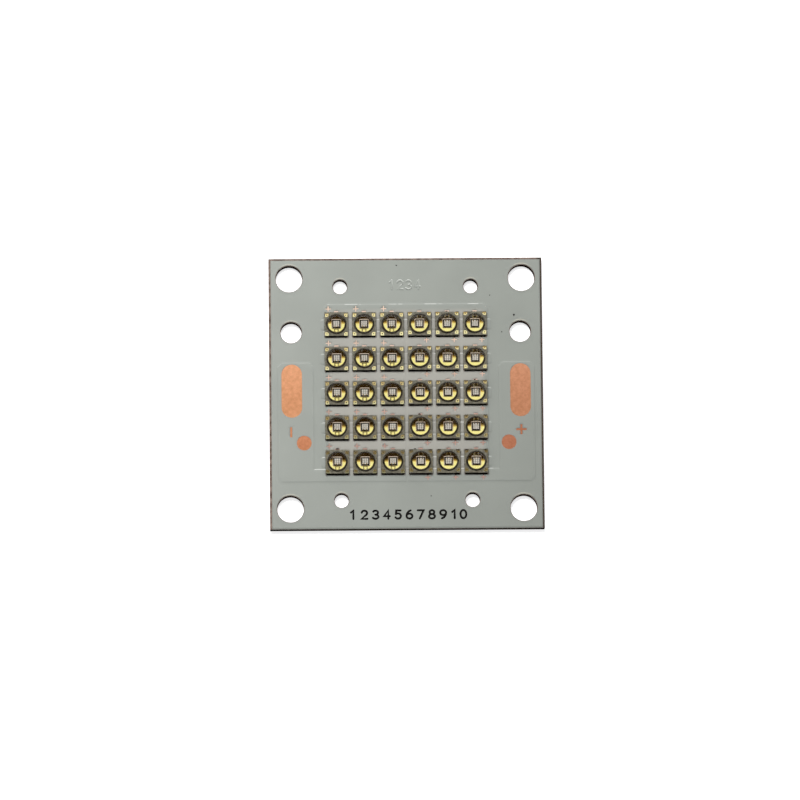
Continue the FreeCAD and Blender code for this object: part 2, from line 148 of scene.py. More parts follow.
FIGURE_WIDTH = 0.6
FIGURE_PITCH = 0.92
SPACE_PITCH = 0.24
# Specks on the coat: x, y, width and depth
SPECKS = MM * np.array([
    (15.87, 11.49, 0.30, 0.36),
    (-1.27, 18.94, 0.20, 0.20),
    (-10.11, -8.19, 0.46, 0.161),
    (1.90, -3.18, 0.36, 0.288),
    (1.19, -8.27, 0.34, 0.204),
    (5.88, -8.27, 0.15, 0.12),
    (6.03, 12.06, 0.32, 0.096),
    (10.02, 1.93, 0.28, 0.14),
    (12.37, 14.44, 0.16, 0.16),
    (14.07, 8.99, 0.15, 0.195),
    (3.49, -15.19, 0.16, 0.16),
])
SPECK_SIDES = 12
SPECK_SWELL = (0.22, 0.12)
SPECK_THICK = 0.01 * MM
# Painted highlight on the upper island's far edge: stretches with their start and end in millimetres, and how
# bright each is
LIT_STRETCHES = (
    (-11.65, -11.20, 0.6),
    (-8.92, -7.09, 1.0),
    (-6.80, -6.60, 0.7),
    (-2.56, -1.32, 0.9),
    (-0.98, -0.56, 0.9),
    (2.90, 4.59, 1.0),
    (4.76, 5.47, 0.6),
    (9.07, 10.60, 1.0),
)
# Painted highlight on the rest of that edge and on the copper tabs beside the LEDs' field, the tabs' width,
# and where the far edge's painted highlight starts and fades
LIT_REST = 0.2
LIT_TABS = 0.7
LIT_TAB_WIDTH = 1.2 * MM
LIT_FROM = 12.3 * MM
LIT_FADE = 0.1 * MM
# The LEDs' field, where the coat is painted lighter to offset the shade the LEDs cast, and is warmer, and the
# width over which it fades
FIELD_X = 11.6 * MM
FIELD_Y = (-12.2 * MM, 12.6 * MM)
FIELD_FADE = 0.6 * MM
# Where the finishes change along the board
BOARD_HALF = 20 * MM
FAR_X = (19 * MM, 19.5 * MM)
MARKS_X = (13.6 * MM, 13.4 * MM)
MARKS_Y = (11 * MM, -6 * MM)
PALE_Y = (-1 * MM, 3.5 * MM)
TARNISH_Y = (-4.2 * MM, -4.6 * MM)
# Parts of an LED
LAND_STEPS = 72
MARK_DROP = 0.08 * MM
MARK_CUT = 0.7
# Brightness of each row's corner marks from the upper row down: painted shade standing in for their dimmer
# reflection in the lower rows
MARK_PAINTED_ROW_SHADES = (1.0, 0.92, 0.72, 0.45, 0.28)
MARK_WEAR = 0.001 * MM
RING_THICK = 0.004 * MM
DIMPLE_RADIUS = 0.085 * MM
DIMPLE_HEIGHT = 0.004 * MM
TAB_STEPS = 9
CHIP_SHRINK = 0.96
CONTACT_THICK = 0.006 * MM
BEAD_OVERLAP = 0.01 * MM
BEAD_HEIGHT = 0.030 * MM
BEAD_WIDTH = 0.085 * MM
BEAD_BEND = BEAD_WIDTH * 0.2
BEAD_STEPS = 7
# The bead's cross-section: how far out from the chip's wall and how high above the gold
BEAD_PROFILE = ((-BEAD_OVERLAP, -BEAD_OVERLAP), (-BEAD_OVERLAP, BEAD_HEIGHT), (BEAD_BEND, BEAD_HEIGHT),
                (BEAD_WIDTH * 0.6, BEAD_HEIGHT * 0.55), (BEAD_WIDTH, 0), (BEAD_WIDTH, -BEAD_OVERLAP))
WIRE_ASIDE = 0.16 * MM
WIRE_START = -0.25 * MM
WIRE_END = -0.82 * MM
WIRE_STEPS = 14
BALL_RADIUS = 0.07 * MM
BALL_HEIGHTS = (0.042 * MM, 0.035 * MM)
# Painted shadow below each LED, a dark strip in the coat's opening: how far it reaches below the LED, half
# its length and how far it sinks below the coat's top
SHADOW_STRIP_REACH = 0.24 * MM
SHADOW_STRIP_HALF = 1.60 * MM
SHADOW_STRIP_SINK = 0.012 * MM
CERAMIC_ROUND = 0.02 * MM
GOLD_ROUND = 0.008 * MM
CHIP_ROUND = 0.012 * MM
SOFT_ANGLE = math.radians(40)
SKIN_INSET = 0.01 * MM
SKIN_SUNK = 0.01 * MM
SKIN_ROUND = 0.04 * MM
SKIN_CHAMFER = SKIN_ROUND * 0.3
DOME_RINGS = 16
FOOT_TURNS = np.radians((30, 60, 90))
SILICONE_IOR = 1.41
# Stage: its directions are in degrees, counted from the near horizon over the top
FLOOR_SIDE = 8.0
FLOOR_DROP = 0.02 * MM
FLOOR_WHITE = 0.85
FLOOR_GLOW = 0.7
STUDIO_RADIUS = 0.6
STUDIO_FROM = 4
STUDIO_TO = 176
STUDIO_STEPS = (131, 121)
OPEN_FROM = 99.2
DIM_FROM = 85
DIM_REACH = 4
DIM_POWER = 2.0
DIM_COLOUR = (255, 222, 170)
OPEN_MIDDLE = 99
OPEN_REACH = 46
STUDIO_COLOUR = (40, 24, 10)
UNDER_GLASS = 0.9
KEY_PLACE = (-0.05, 0.16, 0.50)
KEY_SIDE = 0.14
AMBIENT_COLOUR = (250, 252, 255)


def shown(red, green, blue):
    """Linear light of a colour given as it shows on a screen, 0 to 255 for each channel."""
    share = np.array([red, green, blue]) / 255
    return tuple(np.where(share <= 0.04045, share / 12.92, ((share + 0.055) / 1.055) ** 2.4))


def length(name, description, millimetres):
    """A setting that is a length in metres, given in millimetres."""
    return FloatProperty(name=name, description=description, default=millimetres * MM, unit="LENGTH",
                         precision=6)


def colour(name, description, red, green, blue):
    """A setting that is a colour, given as it shows on a screen."""
    return FloatVectorProperty(name=name, description=description, subtype="COLOR", min=0, max=1,
                               default=shown(red, green, blue))


class LedCoatSettings(bpy.types.PropertyGroup):
    """Coat of the board: how it runs over the copper, where it is open and its colour."""

    slope: length("Edge slope", "Width over which the coat runs down off the copper", 0.18)
    lip_width: length("Lip width", "Width of the raised lip round each drilled hole", 0.30)
    lip_height: length("Lip height", "Height of the raised lip round each drilled hole", 0.035)
    spacing: length("Spacing", "Widest gap between lines of the coat's grid", 0.32)
    border_left: length("Left border", "Bare border between the coat and the board's left edge", 0.30)
    border_right: length("Right border", "Bare border between the coat and the board's right edge", 0.27)
    border_top: length("Top border", "Bare border between the coat and the board's upper edge", 0.26)
    border_bottom: length("Bottom border", "Bare border between the coat and the board's lower edge", 0.03)
    hole_ring: length("Bare ring", "Bare ring between the coat and each drilled hole", 0.07)
    terminal_cut: length("Terminal corner", "Cut corner of the copper islands", 0.55)
    strip_cut: length("Strip corner", "Cut corner of the raised strips", 0.06)
    window: length("LED window", "Side of the opening under each LED", 3.36)
    plus_length: length("Plus length", "Length of the plus mark beside each LED", 0.78)
    plus_line: length("Plus line", "Width of the plus mark's lines", 0.15)
    dash_length: length("Dash length", "Length of the bare dash above each LED", 0.60)
    dash_width: length("Dash width", "Width of the bare dash above each LED", 0.24)
    ink: colour("Ink", "Colour of the coat at the left edge", 167, 171, 164)
    # The right edge's colour is painted shade: the ink darkened as the light falls off towards the right
    ink_right_painted_shade: colour("Far ink", "Colour of the coat at the right edge", 152, 156, 149)
    # Painted light: a lighter, warmer coat between the LEDs, offsetting the shade they cast
    ink_field_painted_light: colour("Field ink", "Colour of the coat between the LEDs", 184, 180, 171)
    # Painted highlight on the coat's edges that face +Y
    glint: colour("Glint", "Pale colour of the coat on edges that face away from the legend", 234, 236, 230)
    # Painted shade on the raised number's slopes that face -Y
    painted_relief_shade: colour("Gathered ink", "Deep colour of the coat below the raised number", 122, 126, 119)
    # Painted highlight on the side of each hole's lip that falls towards +Y
    lip: colour("Lip", "Pale colour of the coat's lip round the drilled holes", 214, 206, 184)


class LedPackageSettings(bpy.types.PropertyGroup):
    """Sizes and colours of one LED package."""

    gold_radius: length("Gold radius", "Radius of the gold land under the dome", 1.22)
    rim_inner: length("Rim inside", "Inner radius of the dark ring over the land's edge", 0.94)
    rim_outer: length("Rim outside", "Outer radius of the dark ring over the land's edge", 1.48)
    tab_half_width: length("Tab half width", "Half the width of the bond tab", 0.22)
    tab_reach: length("Tab reach", "How far the bond tab starts from the chip's centre", 0.60)
    tab_gap: length("Tab gap", "Gap between the bond tab and the land", 0.045)
    mark_side: length("Corner mark side", "Side of the gold mark in each corner", 0.50)
    mark_margin: length("Corner mark margin", "Distance of the corner marks from the package's edge", 0.12)
    contact_side: length("Contact side", "Side of the bright area on the chip", 0.63)
    contact_gap: length("Contact gap", "Gap between the columns of bright fields on the chip", 0.030)
    contact_slit: length("Contact slit", "Gap between the rows of bright fields on the chip", 0.014)
    wire_radius: length("Wire radius", "Radius of a bond wire", 0.018)
    wire_rise: length("Wire rise", "Height of a bond wire's arch above the chip", 0.16)
    flange_thick: length("Flange", "Thickness of the clear skin round the dome", 0.12)
    foot_radius: length("Foot radius", "Radius of the hollow corner at the dome's foot", 0.06)
    dome_sides: IntProperty(name="Dome sides", description="Points round the dome, a multiple of 8",
                            default=72, min=16, max=144)
    gold: colour("Gold", "Colour of the gold lands", 255, 242, 154)
    # The upper row's mark colour; the lower rows get it darkened by painted shade
    mark: colour("Corner marks", "Colour of the worn gold marks in the upper row's corners", 255, 248, 190)
    rim: colour("Rim", "Colour of the dark ring round the gold land", 52, 38, 12)
    ceramic: colour("Ceramic", "Colour of the ceramic base", 170, 165, 146)
    # Painted shade: a dark ring standing in for the dark edge seen through the dome's rim
    chip: colour("Chip", "Colour of the chip's dark border", 13, 10, 7)
    contact: colour("Contact", "Colour of the bright fields on the chip", 255, 249, 236)


class LedStageSettings(bpy.types.PropertyGroup):
    """Camera and light."""

    camera_place: FloatVectorProperty(name="Camera place", description="Where the camera stands",
                                      subtype="XYZ", unit="LENGTH", default=(-0.02005, -0.15436, 0.97074))
    camera_turn: FloatVectorProperty(name="Camera turn", description="How the camera is turned",
                                     subtype="EULER", default=tuple(np.radians((9.0, -1.044, -0.551))))
    camera_lens: FloatProperty(name="Camera lens", description="Focal length in millimetres", default=302.5,
                               unit="CAMERA")
    key_power: FloatProperty(name="Key light", description="Power of the soft lamp", default=2.3,
                             unit="POWER")
    ambient: FloatProperty(name="Ambient light", description="Strength of the light from all round",
                           default=0.32)


def coat_settings():
    return bpy.context.scene.led_coat


def package_settings():
    return bpy.context.scene.led_package


def stage_settings():
    return bpy.context.scene.led_stage


def row_middle(row):
    """The row's place along Y."""
    low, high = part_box(f"led_substrate_row_{row}")
    return (low.y + high.y) / 2


def led_centres(row):
    """Centres of a row's LEDs: evenly spaced between the outer two, which end the row's box."""
    low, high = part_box(f"led_substrate_row_{row}")
    x = np.linspace(low.x + PACKAGE_SIDE / 2, high.x - PACKAGE_SIDE / 2, COLUMNS)
    return np.column_stack([x, np.full(COLUMNS, row_middle(row)), np.zeros(COLUMNS)])


def frame_points(node):
    """Every corner of a CAD node's mesh."""
    vertices = frame["nodes"][node].data.vertices
    points = np.empty(len(vertices) * 3)
    vertices.foreach_get("co", points)
    return points.reshape(-1, 3)


def grid_faces(rows, columns, wrap=False):
    """Four-sided faces of a grid of points held row after row; with wrap, the last column joins the first."""
    across = columns if wrap else columns - 1
    row, column = np.meshgrid(np.arange(rows - 1), np.arange(across), indexing="ij")
    onward = (column + 1) % columns
    corners = [row * columns + column, row * columns + onward,
               (row + 1) * columns + onward, (row + 1) * columns + column]
    return np.stack(corners, axis=-1).reshape(-1, 4)


def join(patches):
    """Several patches as one: their points follow one another, and their faces are counted on."""
    points, faces, count = [], [], 0
    for patch_points, patch_faces in patches:
        points.append(patch_points)
        faces += [corners + count for corners in patch_faces]
        count += len(patch_points)
    return np.concatenate(points), faces


def repeated(patch, centres):
    """The patch once at each centre: every point plus every centre."""
    points, faces = patch
    moved = (points[None] + centres[:, None]).reshape(-1, 3)
    steps = np.arange(len(centres))[:, None, None] * len(points)
    return moved, [(corners[None] + steps).reshape(-1, corners.shape[1]) for corners in faces]


def turned(patch):
    """The patch after half a turn about the upright axis: x and y change sign."""
    points, faces = patch
    return points * (-1, -1, 1), faces


def row_of(patch, row):
    """The patch at each LED of a row, turned end for end in the right half."""
    centres = led_centres(row)
    return join([repeated(patch, centres[:TURNED_FROM]), repeated(turned(patch), centres[TURNED_FROM:])])


def placed(name, data):
    """A new object of the scene."""
    item = bpy.data.objects.new(name, data)
    bpy.context.scene.collection.objects.link(item)
    return item


def new_mesh(name, points, faces, material):
    """A mesh object of one material, at the origin."""
    mesh = bpy.data.meshes.new(name)
    mesh.from_pydata(points.tolist(), [], faces)
    mesh.materials.append(material)
    return placed(name, mesh)


def new_piece(name, patch, material, stands_for=(), sharp=35):
    """A smooth piece from a patch, riding on the board; edges that turn by more than sharp degrees are
    sharp."""
    points, faces = patch
    piece = new_mesh(name, points, [face for corners in faces for face in corners.tolist()], material)
    mesh = piece.data
    mesh.polygons.foreach_set("use_smooth", np.ones(len(mesh.polygons), dtype=bool))
    mesh.set_sharp_from_angle(angle=math.radians(sharp))
    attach(piece, "root")
    if stands_for:
        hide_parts(*stands_for)
    return piece


def row_piece(row, name, patch, material, node=None, sharp=35, edge=0.0, segments=1):
    """One row's piece: the patch at each of its LEDs, in place of the row's CAD node if one is named, with
    its edges rounded over a width."""
    stands_for = (f"{node}_row_{row}",) if node else ()
    piece = new_piece(f"{name}_row_{row}", row_of(patch, row), material, stands_for, sharp)
    if edge:
        soften(piece, edge, segments)


def soften(piece, width, segments):
    """Round the piece's edges over a width."""
    bevel = piece.modifiers.new("soft_edges", "BEVEL")
    bevel.width = width
    bevel.segments = segments
    bevel.limit_method = "ANGLE"
    bevel.angle_limit = SOFT_ANGLE


def rectangle(x, y, width, depth):
    """Corners of a level rectangle about a centre, anticlockwise from the lower left."""
    return np.array([(-1, -1), (1, -1), (1, 1), (-1, 1)]) * (width / 2, depth / 2) + (x, y)


def plate(outline, low, high):
    """Upright walls between two copies of an outline, closed by the outline below and above."""
    count = len(outline)
    points = np.column_stack([np.tile(outline, (2, 1)), np.repeat([low, high], count)])
    around = np.arange(count)
    onward = (around + 1) % count
    walls = np.column_stack([around, onward, onward + count, around + count])
    return points, [walls, around[None, ::-1], around[None] + count]


def tube(path, radius, sides=8):
    """A round wire along a path in an upright plane square to X: at each step a ring of points lies square
    to the path, x = cos of the angle and the rest along the path's own normal, and both ends are closed."""
    ahead = np.gradient(path, axis=0)
    ahead /= np.linalg.norm(ahead, axis=1, keepdims=True)
    aside = np.array([1.0, 0, 0])
    above = np.cross(aside, ahead)
    level, steep = directions(sides).T[..., None]
    points = (path[:, None] + radius * (level[None] * aside + steep[None] * above[:, None])).reshape(-1, 3)
    around = np.arange(sides)
    ends = [around[None], around[None, ::-1] + (len(path) - 1) * sides]
    return points, [grid_faces(len(path), sides, wrap=True)[:, ::-1]] + ends


def directions(sides):
    """Cosine and sine of even steps round a circle."""
    angle = np.linspace(0, 2 * math.pi, sides, endpoint=False)
    return np.stack([np.cos(angle), np.sin(angle)], axis=-1)


def stacked(around, rings):
    """Rings round the upright axis, each (reach, height): its points are the directions times the reach."""
    return np.concatenate([np.column_stack([around * np.reshape(reach, (-1, 1)),
                                            np.full(len(around), height)]) for reach, height in rings])


def domed(top, around, rings):
    """A closed shell of stacked rings, the highest first: a fan from its top point, and a flat face below."""
    count = len(around)
    step = np.arange(count)
    crown = np.column_stack([np.zeros(count, int), 1 + step, 1 + (step + 1) % count])
    walls = grid_faces(len(rings), count, wrap=True)[:, ::-1] + 1
    floor = (1 + (len(rings) - 1) * count + step)[None, ::-1]
    return np.concatenate([[(0, 0, top)], stacked(around, rings)]), [crown, walls, floor]


def stud(x, y, base, radius, height, sides=12, rings=4):
    """A flattened half ball: radius times the sine and height times the cosine of the angle from its top."""
    tilts = np.linspace(0, math.pi / 2, rings + 1)[1:]
    shell = [(radius * math.sin(tilt), base + height * math.cos(tilt)) for tilt in tilts]
    points, faces = domed(base + height, directions(sides), shell)
    return points + (x, y, 0), faces


def smooth_fall(distance, width):
    """1 where the distance is 0 or less, 0 beyond the width, and 1 - t*t*(3 - 2t) in between."""
    share = np.clip(distance / width, 0, 1)
    return 1 - share * share * (3 - 2 * share)


def distance_outside(x, y, box, cut, corners):
    """How far points lie outside a level box, below 0 inside it; the named corners are cut at 45 degrees."""
    low_x, low_y, high_x, high_y = box
    from_x, from_y = x - (low_x + high_x) / 2, y - (low_y + high_y) / 2
    half_x, half_y = (high_x - low_x) / 2, (high_y - low_y) / 2
    away = np.maximum(np.abs(from_x) - half_x, np.abs(from_y) - half_y)
    for side_x, side_y in corners:
        slant = side_x * from_x + side_y * from_y - (half_x + half_y - cut)
        away = np.maximum(away, slant / math.sqrt(2))
    return away


def strip_sizes():
    """Half the length and half the width of the core's raised strips."""
    points = frame_points("core_plate")
    raised = points[points[:, 2] > (BOARD_TOP + COPPER_TOP) / 2]
    return raised[:, 0].max(), raised[:, 1].max() - row_middle(1)


def copper_boxes():
    """What lies raised under the coat: level boxes, each with its cut and the corners that are cut."""
    coat = coat_settings()
    boxes = []
    for node in sorted(name for name in frame["nodes"] if name.startswith("circuit_")):
        low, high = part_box(node)
        if node in ("circuit_minus", "circuit_plus"):
            side = 1 if node == "circuit_plus" else -1
            points = frame_points(node)
            arm = points[points[:, 1] > 0]
            bar = points[np.abs(points[:, 0]) < PACKAGE_SIDE / 2]
            upright = (arm[:, 0].min(), low.y, arm[:, 0].max(), high.y)
            boxes.append((upright, coat.terminal_cut, ((-1, 1), (1, 1), (side, -1))))
            boxes.append(((low.x, low.y, high.x, bar[:, 1].max()), coat.terminal_cut, ((side, -1),)))
        else:
            corners = ((-1, 1), (1, 1)) if node == "circuit_top" else ()
            boxes.append(((low.x, low.y, high.x, high.y), coat.terminal_cut, corners))
    half_long, half_wide = strip_sizes()
    for row in ROWS:
        middle = row_middle(row)
        strip = (-half_long, middle - half_wide, half_long, middle + half_wide)
        boxes.append((strip, coat.strip_cut, ((-1, -1), (1, -1), (1, 1), (-1, 1))))
    return boxes


def round_openings():
    """Round-ended openings of the coat, each (x, y of its lower centre, y of its upper centre, radius,
    drilled): the drilled holes from the record's mounts, then the wire pads and the test pads."""
    openings = []
    for mount in frame["record"]["mounts"]:
        if mount["kind"] != "bolt_pattern":
            continue
        dims, middle = mount["dims"], mount["pos_m"][1]
        across, along = dims["spacing_x_mm"] * MM / 2, dims.get("spacing_y_mm", 0) * MM / 2
        radius = dims["hole_r_mm"] * MM + coat_settings().hole_ring
        openings += [(x, y, y, radius, True) for x in (-across, across)
                     for y in sorted({middle - along, middle + along})]
    for side in (-1, 1):
        openings.append((side * WIRE_PAD_X, WIRE_PAD_LOW, WIRE_PAD_HIGH, WIRE_PAD_RADIUS, False))
        openings.append((side * TEST_PAD_X, TEST_PAD_Y, TEST_PAD_Y, TEST_PAD_RADIUS, False))
    return openings


def square_openings():
    """Straight-sided openings of the coat as level boxes: LED windows, dashes, small plus marks and pad
    signs."""
    coat = coat_settings()
    signs = [(*MINUS_PLACE, SIGN_LINE, SIGN_LENGTH), (*PLUS_PLACE, SIGN_LENGTH, SIGN_LINE),
             (*PLUS_PLACE, SIGN_LINE, SIGN_LENGTH)]
    for row in ROWS:
        for column, (x, y, _) in enumerate(led_centres(row)):
            aside, rise = PLUS_LEFT if column < TURNED_FROM else PLUS_RIGHT
            # Each LED's window reaches below it to hold the painted shadow strip
            signs += [(x, y - SHADOW_STRIP_REACH / 2, coat.window, coat.window + SHADOW_STRIP_REACH),
                      (x, y + DASH_RISE, coat.dash_length, coat.dash_width),
                      (x + aside, y + rise, coat.plus_length, coat.plus_line),
                      (x + aside, y + rise, coat.plus_line, coat.plus_length)]
    return [(x - width / 2, y - depth / 2, x + width / 2, y + depth / 2) for x, y, width, depth in signs]


def coat_height(x, y, openings):
    """Height of the coat's top: its level on bare film, plus the copper's thickness times the highest
    smooth fall from any raised box, plus a lip that rises smoothly towards each drilled hole."""
    coat = coat_settings()
    rise = np.zeros_like(x)
    for box, cut, corners in copper_boxes():
        rise = np.maximum(rise, smooth_fall(distance_outside(x, y, box, cut, corners), coat.slope))
    lip = np.zeros_like(x)
    for middle, low, high, radius, drilled in openings:
        if drilled:
            away = np.hypot(x - middle, y - np.clip(y, low, high)) - radius
            lip = np.maximum(lip, smooth_fall(away, coat.lip_width))
    return BOARD_TOP + (COAT_TOP - COPPER_TOP) + (COPPER_TOP - BOARD_TOP) * rise + coat.lip_height * lip


def spread_lines(stops, spacing):
    """Coordinates through every stop, with even steps between that are no wider than the spacing."""
    stops = np.unique(np.round(stops, 8))
    stops = stops[np.append(True, np.diff(stops) > SAME_LINE)]
    counts = np.maximum(1, np.ceil(np.diff(stops) / spacing)).astype(int)
    spans = [np.linspace(start, end, count, endpoint=False)
             for start, end, count in zip(stops, stops[1:], counts)]
    return np.append(np.concatenate(spans), stops[-1])


def nearest(lines, place):
    """Number of the grid line that lies nearest to a place."""
    return int(np.abs(lines - place).argmin())


def opening_box(opening):
    """Level box round a round-ended opening, inside which the coat's grid gives way to rings."""
    x, low, high, radius, drilled = opening
    reach = radius + (HOLE_MARGIN if drilled else PAD_MARGIN)
    return (x - reach, low - reach, x + reach, high + reach)


def coat_patch():
    """The coat's top as a level grid whose lines run along every straight edge of the relief. Cells inside
    an opening are left out. Round each round opening the grid's own points are joined to rings that close
    in on the rim: each point moves a share of the way to the rim point that lies nearest to it."""
    coat = coat_settings()
    openings = round_openings()
    gaps = square_openings() + [opening_box(opening) for opening in openings]
    low, high = CAD_BOX
    stops = ([low.x + coat.border_left, high.x - coat.border_right],
             [low.y + coat.border_bottom, high.y - coat.border_top])
    falls = np.arange(FALL_LINES + 1) / FALL_LINES * coat.slope
    for axis in (0, 1):
        for box, _, _ in copper_boxes():
            stops[axis].extend([*(box[axis] - falls), *(box[axis + 2] + falls)])
        for box in gaps:
            stops[axis].extend([box[axis], box[axis + 2]])
    lines_x, lines_y = (spread_lines(stop, coat.spacing) for stop in stops)
    x, y = np.meshgrid(lines_x, lines_y)
    middle_x, middle_y = np.meshgrid((lines_x[:-1] + lines_x[1:]) / 2, (lines_y[:-1] + lines_y[1:]) / 2)
    keep = np.ones(middle_x.shape, dtype=bool)
    for low_x, low_y, high_x, high_y in gaps:
        keep &= ~((middle_x > low_x) & (middle_x < high_x) & (middle_y > low_y) & (middle_y < high_y))
    number = np.arange(x.size).reshape(x.shape)
    places = [np.column_stack([x.ravel(), y.ravel()])]
    faces = [grid_faces(*x.shape)[keep.ravel()]]
    count = x.size
    for opening in openings:
        low_x, low_y, high_x, high_y = opening_box(opening)
        left, right = nearest(lines_x, low_x), nearest(lines_x, high_x)
        lower, upper = nearest(lines_y, low_y), nearest(lines_y, high_y)
        inside = np.concatenate([number[lower, left:right], number[lower:upper, right],
                                 number[upper, right:left:-1], number[upper:lower:-1, left]])
        outer = places[0][inside]
        anchor = np.column_stack([np.full(len(outer), opening[0]),
                                  np.clip(outer[:, 1], opening[1], opening[2])])
        out = outer - anchor
        rim = anchor + opening[3] * out / np.linalg.norm(out, axis=1, keepdims=True)
        for share in RING_SHARES:
            places.append(outer + share * (rim - outer))
            following = count + np.arange(len(outer))
            count += len(outer)
            faces.append(np.column_stack([inside, np.roll(inside, -1), np.roll(following, -1), following]))
            inside = following
    used, faces = np.unique(np.concatenate(faces), return_inverse=True)
    places = np.concatenate(places)[used]
    return np.column_stack([places, coat_height(*places.T, openings)]), [faces.reshape(-1, 4)]


def store_glint(mesh, points):
    """Masks of painted highlight for the coat's material, kept as attributes. Two tell how steeply the coat
    falls towards +Y at each point, 0 to 1, one for the edges of the copper and one for the holes' lips: the
    difference of its height one step below and above, over the most it can be, which is 3 times the rise
    times the step over the width. A third one tells how bright the painted highlight is on the upper
    island's far edge and on the tabs beside the LEDs' field."""
    coat = coat_settings()
    x, y = points[:, 0], points[:, 1]
    openings = round_openings()
    for name, holes, width, rise in (("glint", [], coat.slope, COPPER_TOP - BOARD_TOP),
                                     ("lip", openings, coat.lip_width, coat.lip_height)):
        step = width / 6
        fall = coat_height(x, y - step, holes) - coat_height(x, y + step, holes)
        if holes:
            fall -= coat_height(x, y - step, []) - coat_height(x, y + step, [])
        keep_values(mesh, name, np.clip(fall / (3 * rise * step / width), 0, 1))
    shares = [LIT_REST + (level - LIT_REST) * ((x > start * MM) & (x < end * MM))
              for start, end, level in LIT_STRETCHES]
    tabs = LIT_TABS * ((np.abs(x) > FIELD_X) & (np.abs(x) < FIELD_X + LIT_TAB_WIDTH))
    keep_values(mesh, "lit", np.where(y > LIT_FROM, np.max(shares, axis=0), tabs))


def keep_values(mesh, name, values):
    """Store one number per point as an attribute."""
    kept = mesh.attributes.new(name, "FLOAT", "POINT")
    kept.data.foreach_set("value", values.astype(np.float32))


def lens_patch():
    """Clear skin of one LED, a closed shell. Rings go round the upright axis: down the dome its radius
    times the sine and cosine of the tilt, then a hollow quarter circle at its foot, then out to the square
    flange, whose distance from the axis is its half side divided by the larger of |cos| and |sin| of the
    direction."""
    package = package_settings()
    around = directions(package.dome_sides)
    square = (PACKAGE_SIDE / 2 - SKIN_INSET) / np.abs(around).max(axis=1)
    radius, foot = DOME_TOP - GOLD_TOP, package.foot_radius
    skin_top = GOLD_TOP + package.flange_thick
    lowest = math.acos((skin_top + foot - GOLD_TOP) / radius)
    tilts = np.linspace(0, lowest, DOME_RINGS + 1)[1:]
    rings = [(radius * math.sin(tilt), GOLD_TOP + radius * math.cos(tilt)) for tilt in tilts]
    edge = rings[-1][0] + foot
    rings += [(edge - foot * math.cos(turn), skin_top + foot - foot * math.sin(turn)) for turn in FOOT_TURNS]
    rings += [((edge + square) / 2, skin_top), (square - SKIN_ROUND, skin_top),
              (square - SKIN_CHAMFER, skin_top - SKIN_CHAMFER), (square, skin_top - SKIN_ROUND),
              (square, CERAMIC_TOP - SKIN_SUNK)]
    return domed(DOME_TOP, around, rings)


def gold_patch():
    """Gold lands of one LED: the round land with a notch for the bond tab, and the tab."""
    package = package_settings()
    radius, half, gap = package.gold_radius, package.tab_half_width, package.tab_gap
    notch = half + gap
    start = math.asin(notch / radius) - math.pi / 2
    arc = np.linspace(start, math.pi - start, LAND_STEPS)
    land = np.column_stack([np.cos(arc), np.sin(arc)]) * radius
    land = np.concatenate([land, [(-notch, -package.tab_reach + gap), (notch, -package.tab_reach + gap)]])
    foot = np.linspace(-half, half, TAB_STEPS)
    tab = np.column_stack([foot, -np.sqrt(radius ** 2 - foot ** 2)])
    tab = np.concatenate([tab, [(half, -package.tab_reach), (-half, -package.tab_reach)]])
    return join([plate(outline, CERAMIC_TOP, GOLD_TOP) for outline in [land, tab]])


def mark_places():
    """Middles of the four corner marks of one LED."""
    package = package_settings()
    middle = PACKAGE_SIDE / 2 - package.mark_margin - package.mark_side / 2
    return [(x * middle, y * middle - MARK_DROP) for x in (-1, 1) for y in (-1, 1)]


def mark_patch():
    """A mark in each corner of one LED: a square whose corner towards the dome is cut."""
    half = package_settings().mark_side / 2
    cut = half * MARK_CUT - half
    outline = np.array([(half, -half), (half, half), (-half, half), (-half, cut), (cut, -half)])
    parts = []
    for x, y in mark_places():
        side = np.sign([x, y + MARK_DROP])
        corners = outline * side + (x, y)
        parts.append(plate(corners if side.prod() > 0 else corners[::-1], CERAMIC_TOP, GOLD_TOP))
    return join(parts)


def shade_ring_patch():
    """Painted shade: a dark ring of one LED over the edge of its land, standing in for the dark edge that the
    dome's refraction shows; a closed band with four edges.
    """
    package = package_settings()
    inner, outer, top = package.rim_inner, package.rim_outer, GOLD_TOP + RING_THICK
    points = stacked(directions(LAND_STEPS), [(inner, CERAMIC_TOP), (inner, top), (outer, top),
                                              (outer, CERAMIC_TOP)])
    return points, [grid_faces(5, LAND_STEPS, wrap=True)[:, ::-1] % len(points)]


def dimple_patch():
    """The dark filled hole in the middle of each corner mark."""
    return join([stud(x, y, GOLD_TOP, DIMPLE_RADIUS, DIMPLE_HEIGHT, 10, 2) for x, y in mark_places()])


def shadow_strip_patch():
    """Painted shadow: a dark strip in the coat's opening along the lower side of one LED, standing in for the
    LED's shadow.
    """
    line = rectangle(0, -(PACKAGE_SIDE + SHADOW_STRIP_REACH) / 2, 2 * SHADOW_STRIP_HALF, SHADOW_STRIP_REACH + 2 * SHADOW_STRIP_SINK)
    return plate(line, BOARD_TOP, COAT_TOP - SHADOW_STRIP_SINK)


def chip_patch():
    """The chip's dark block."""
    return plate(rectangle(0, 0, CHIP_SIDE, CHIP_SIDE) * CHIP_SHRINK, GOLD_TOP, CHIP_TOP)


def contact_patch():
    """Nine bright fields on the chip, three by three, with narrow gaps between."""
    package = package_settings()
    across = (package.contact_side + package.contact_gap) / 3
    along = (package.contact_side + package.contact_slit) / 3
    size = (across - package.contact_gap, along - package.contact_slit)
    places = [(column * across, row * along) for row in (-1, 0, 1) for column in (-1, 0, 1)]
    return join([plate(rectangle(x, y, *size), CHIP_TOP, CHIP_TOP + CONTACT_THICK) for x, y in places])


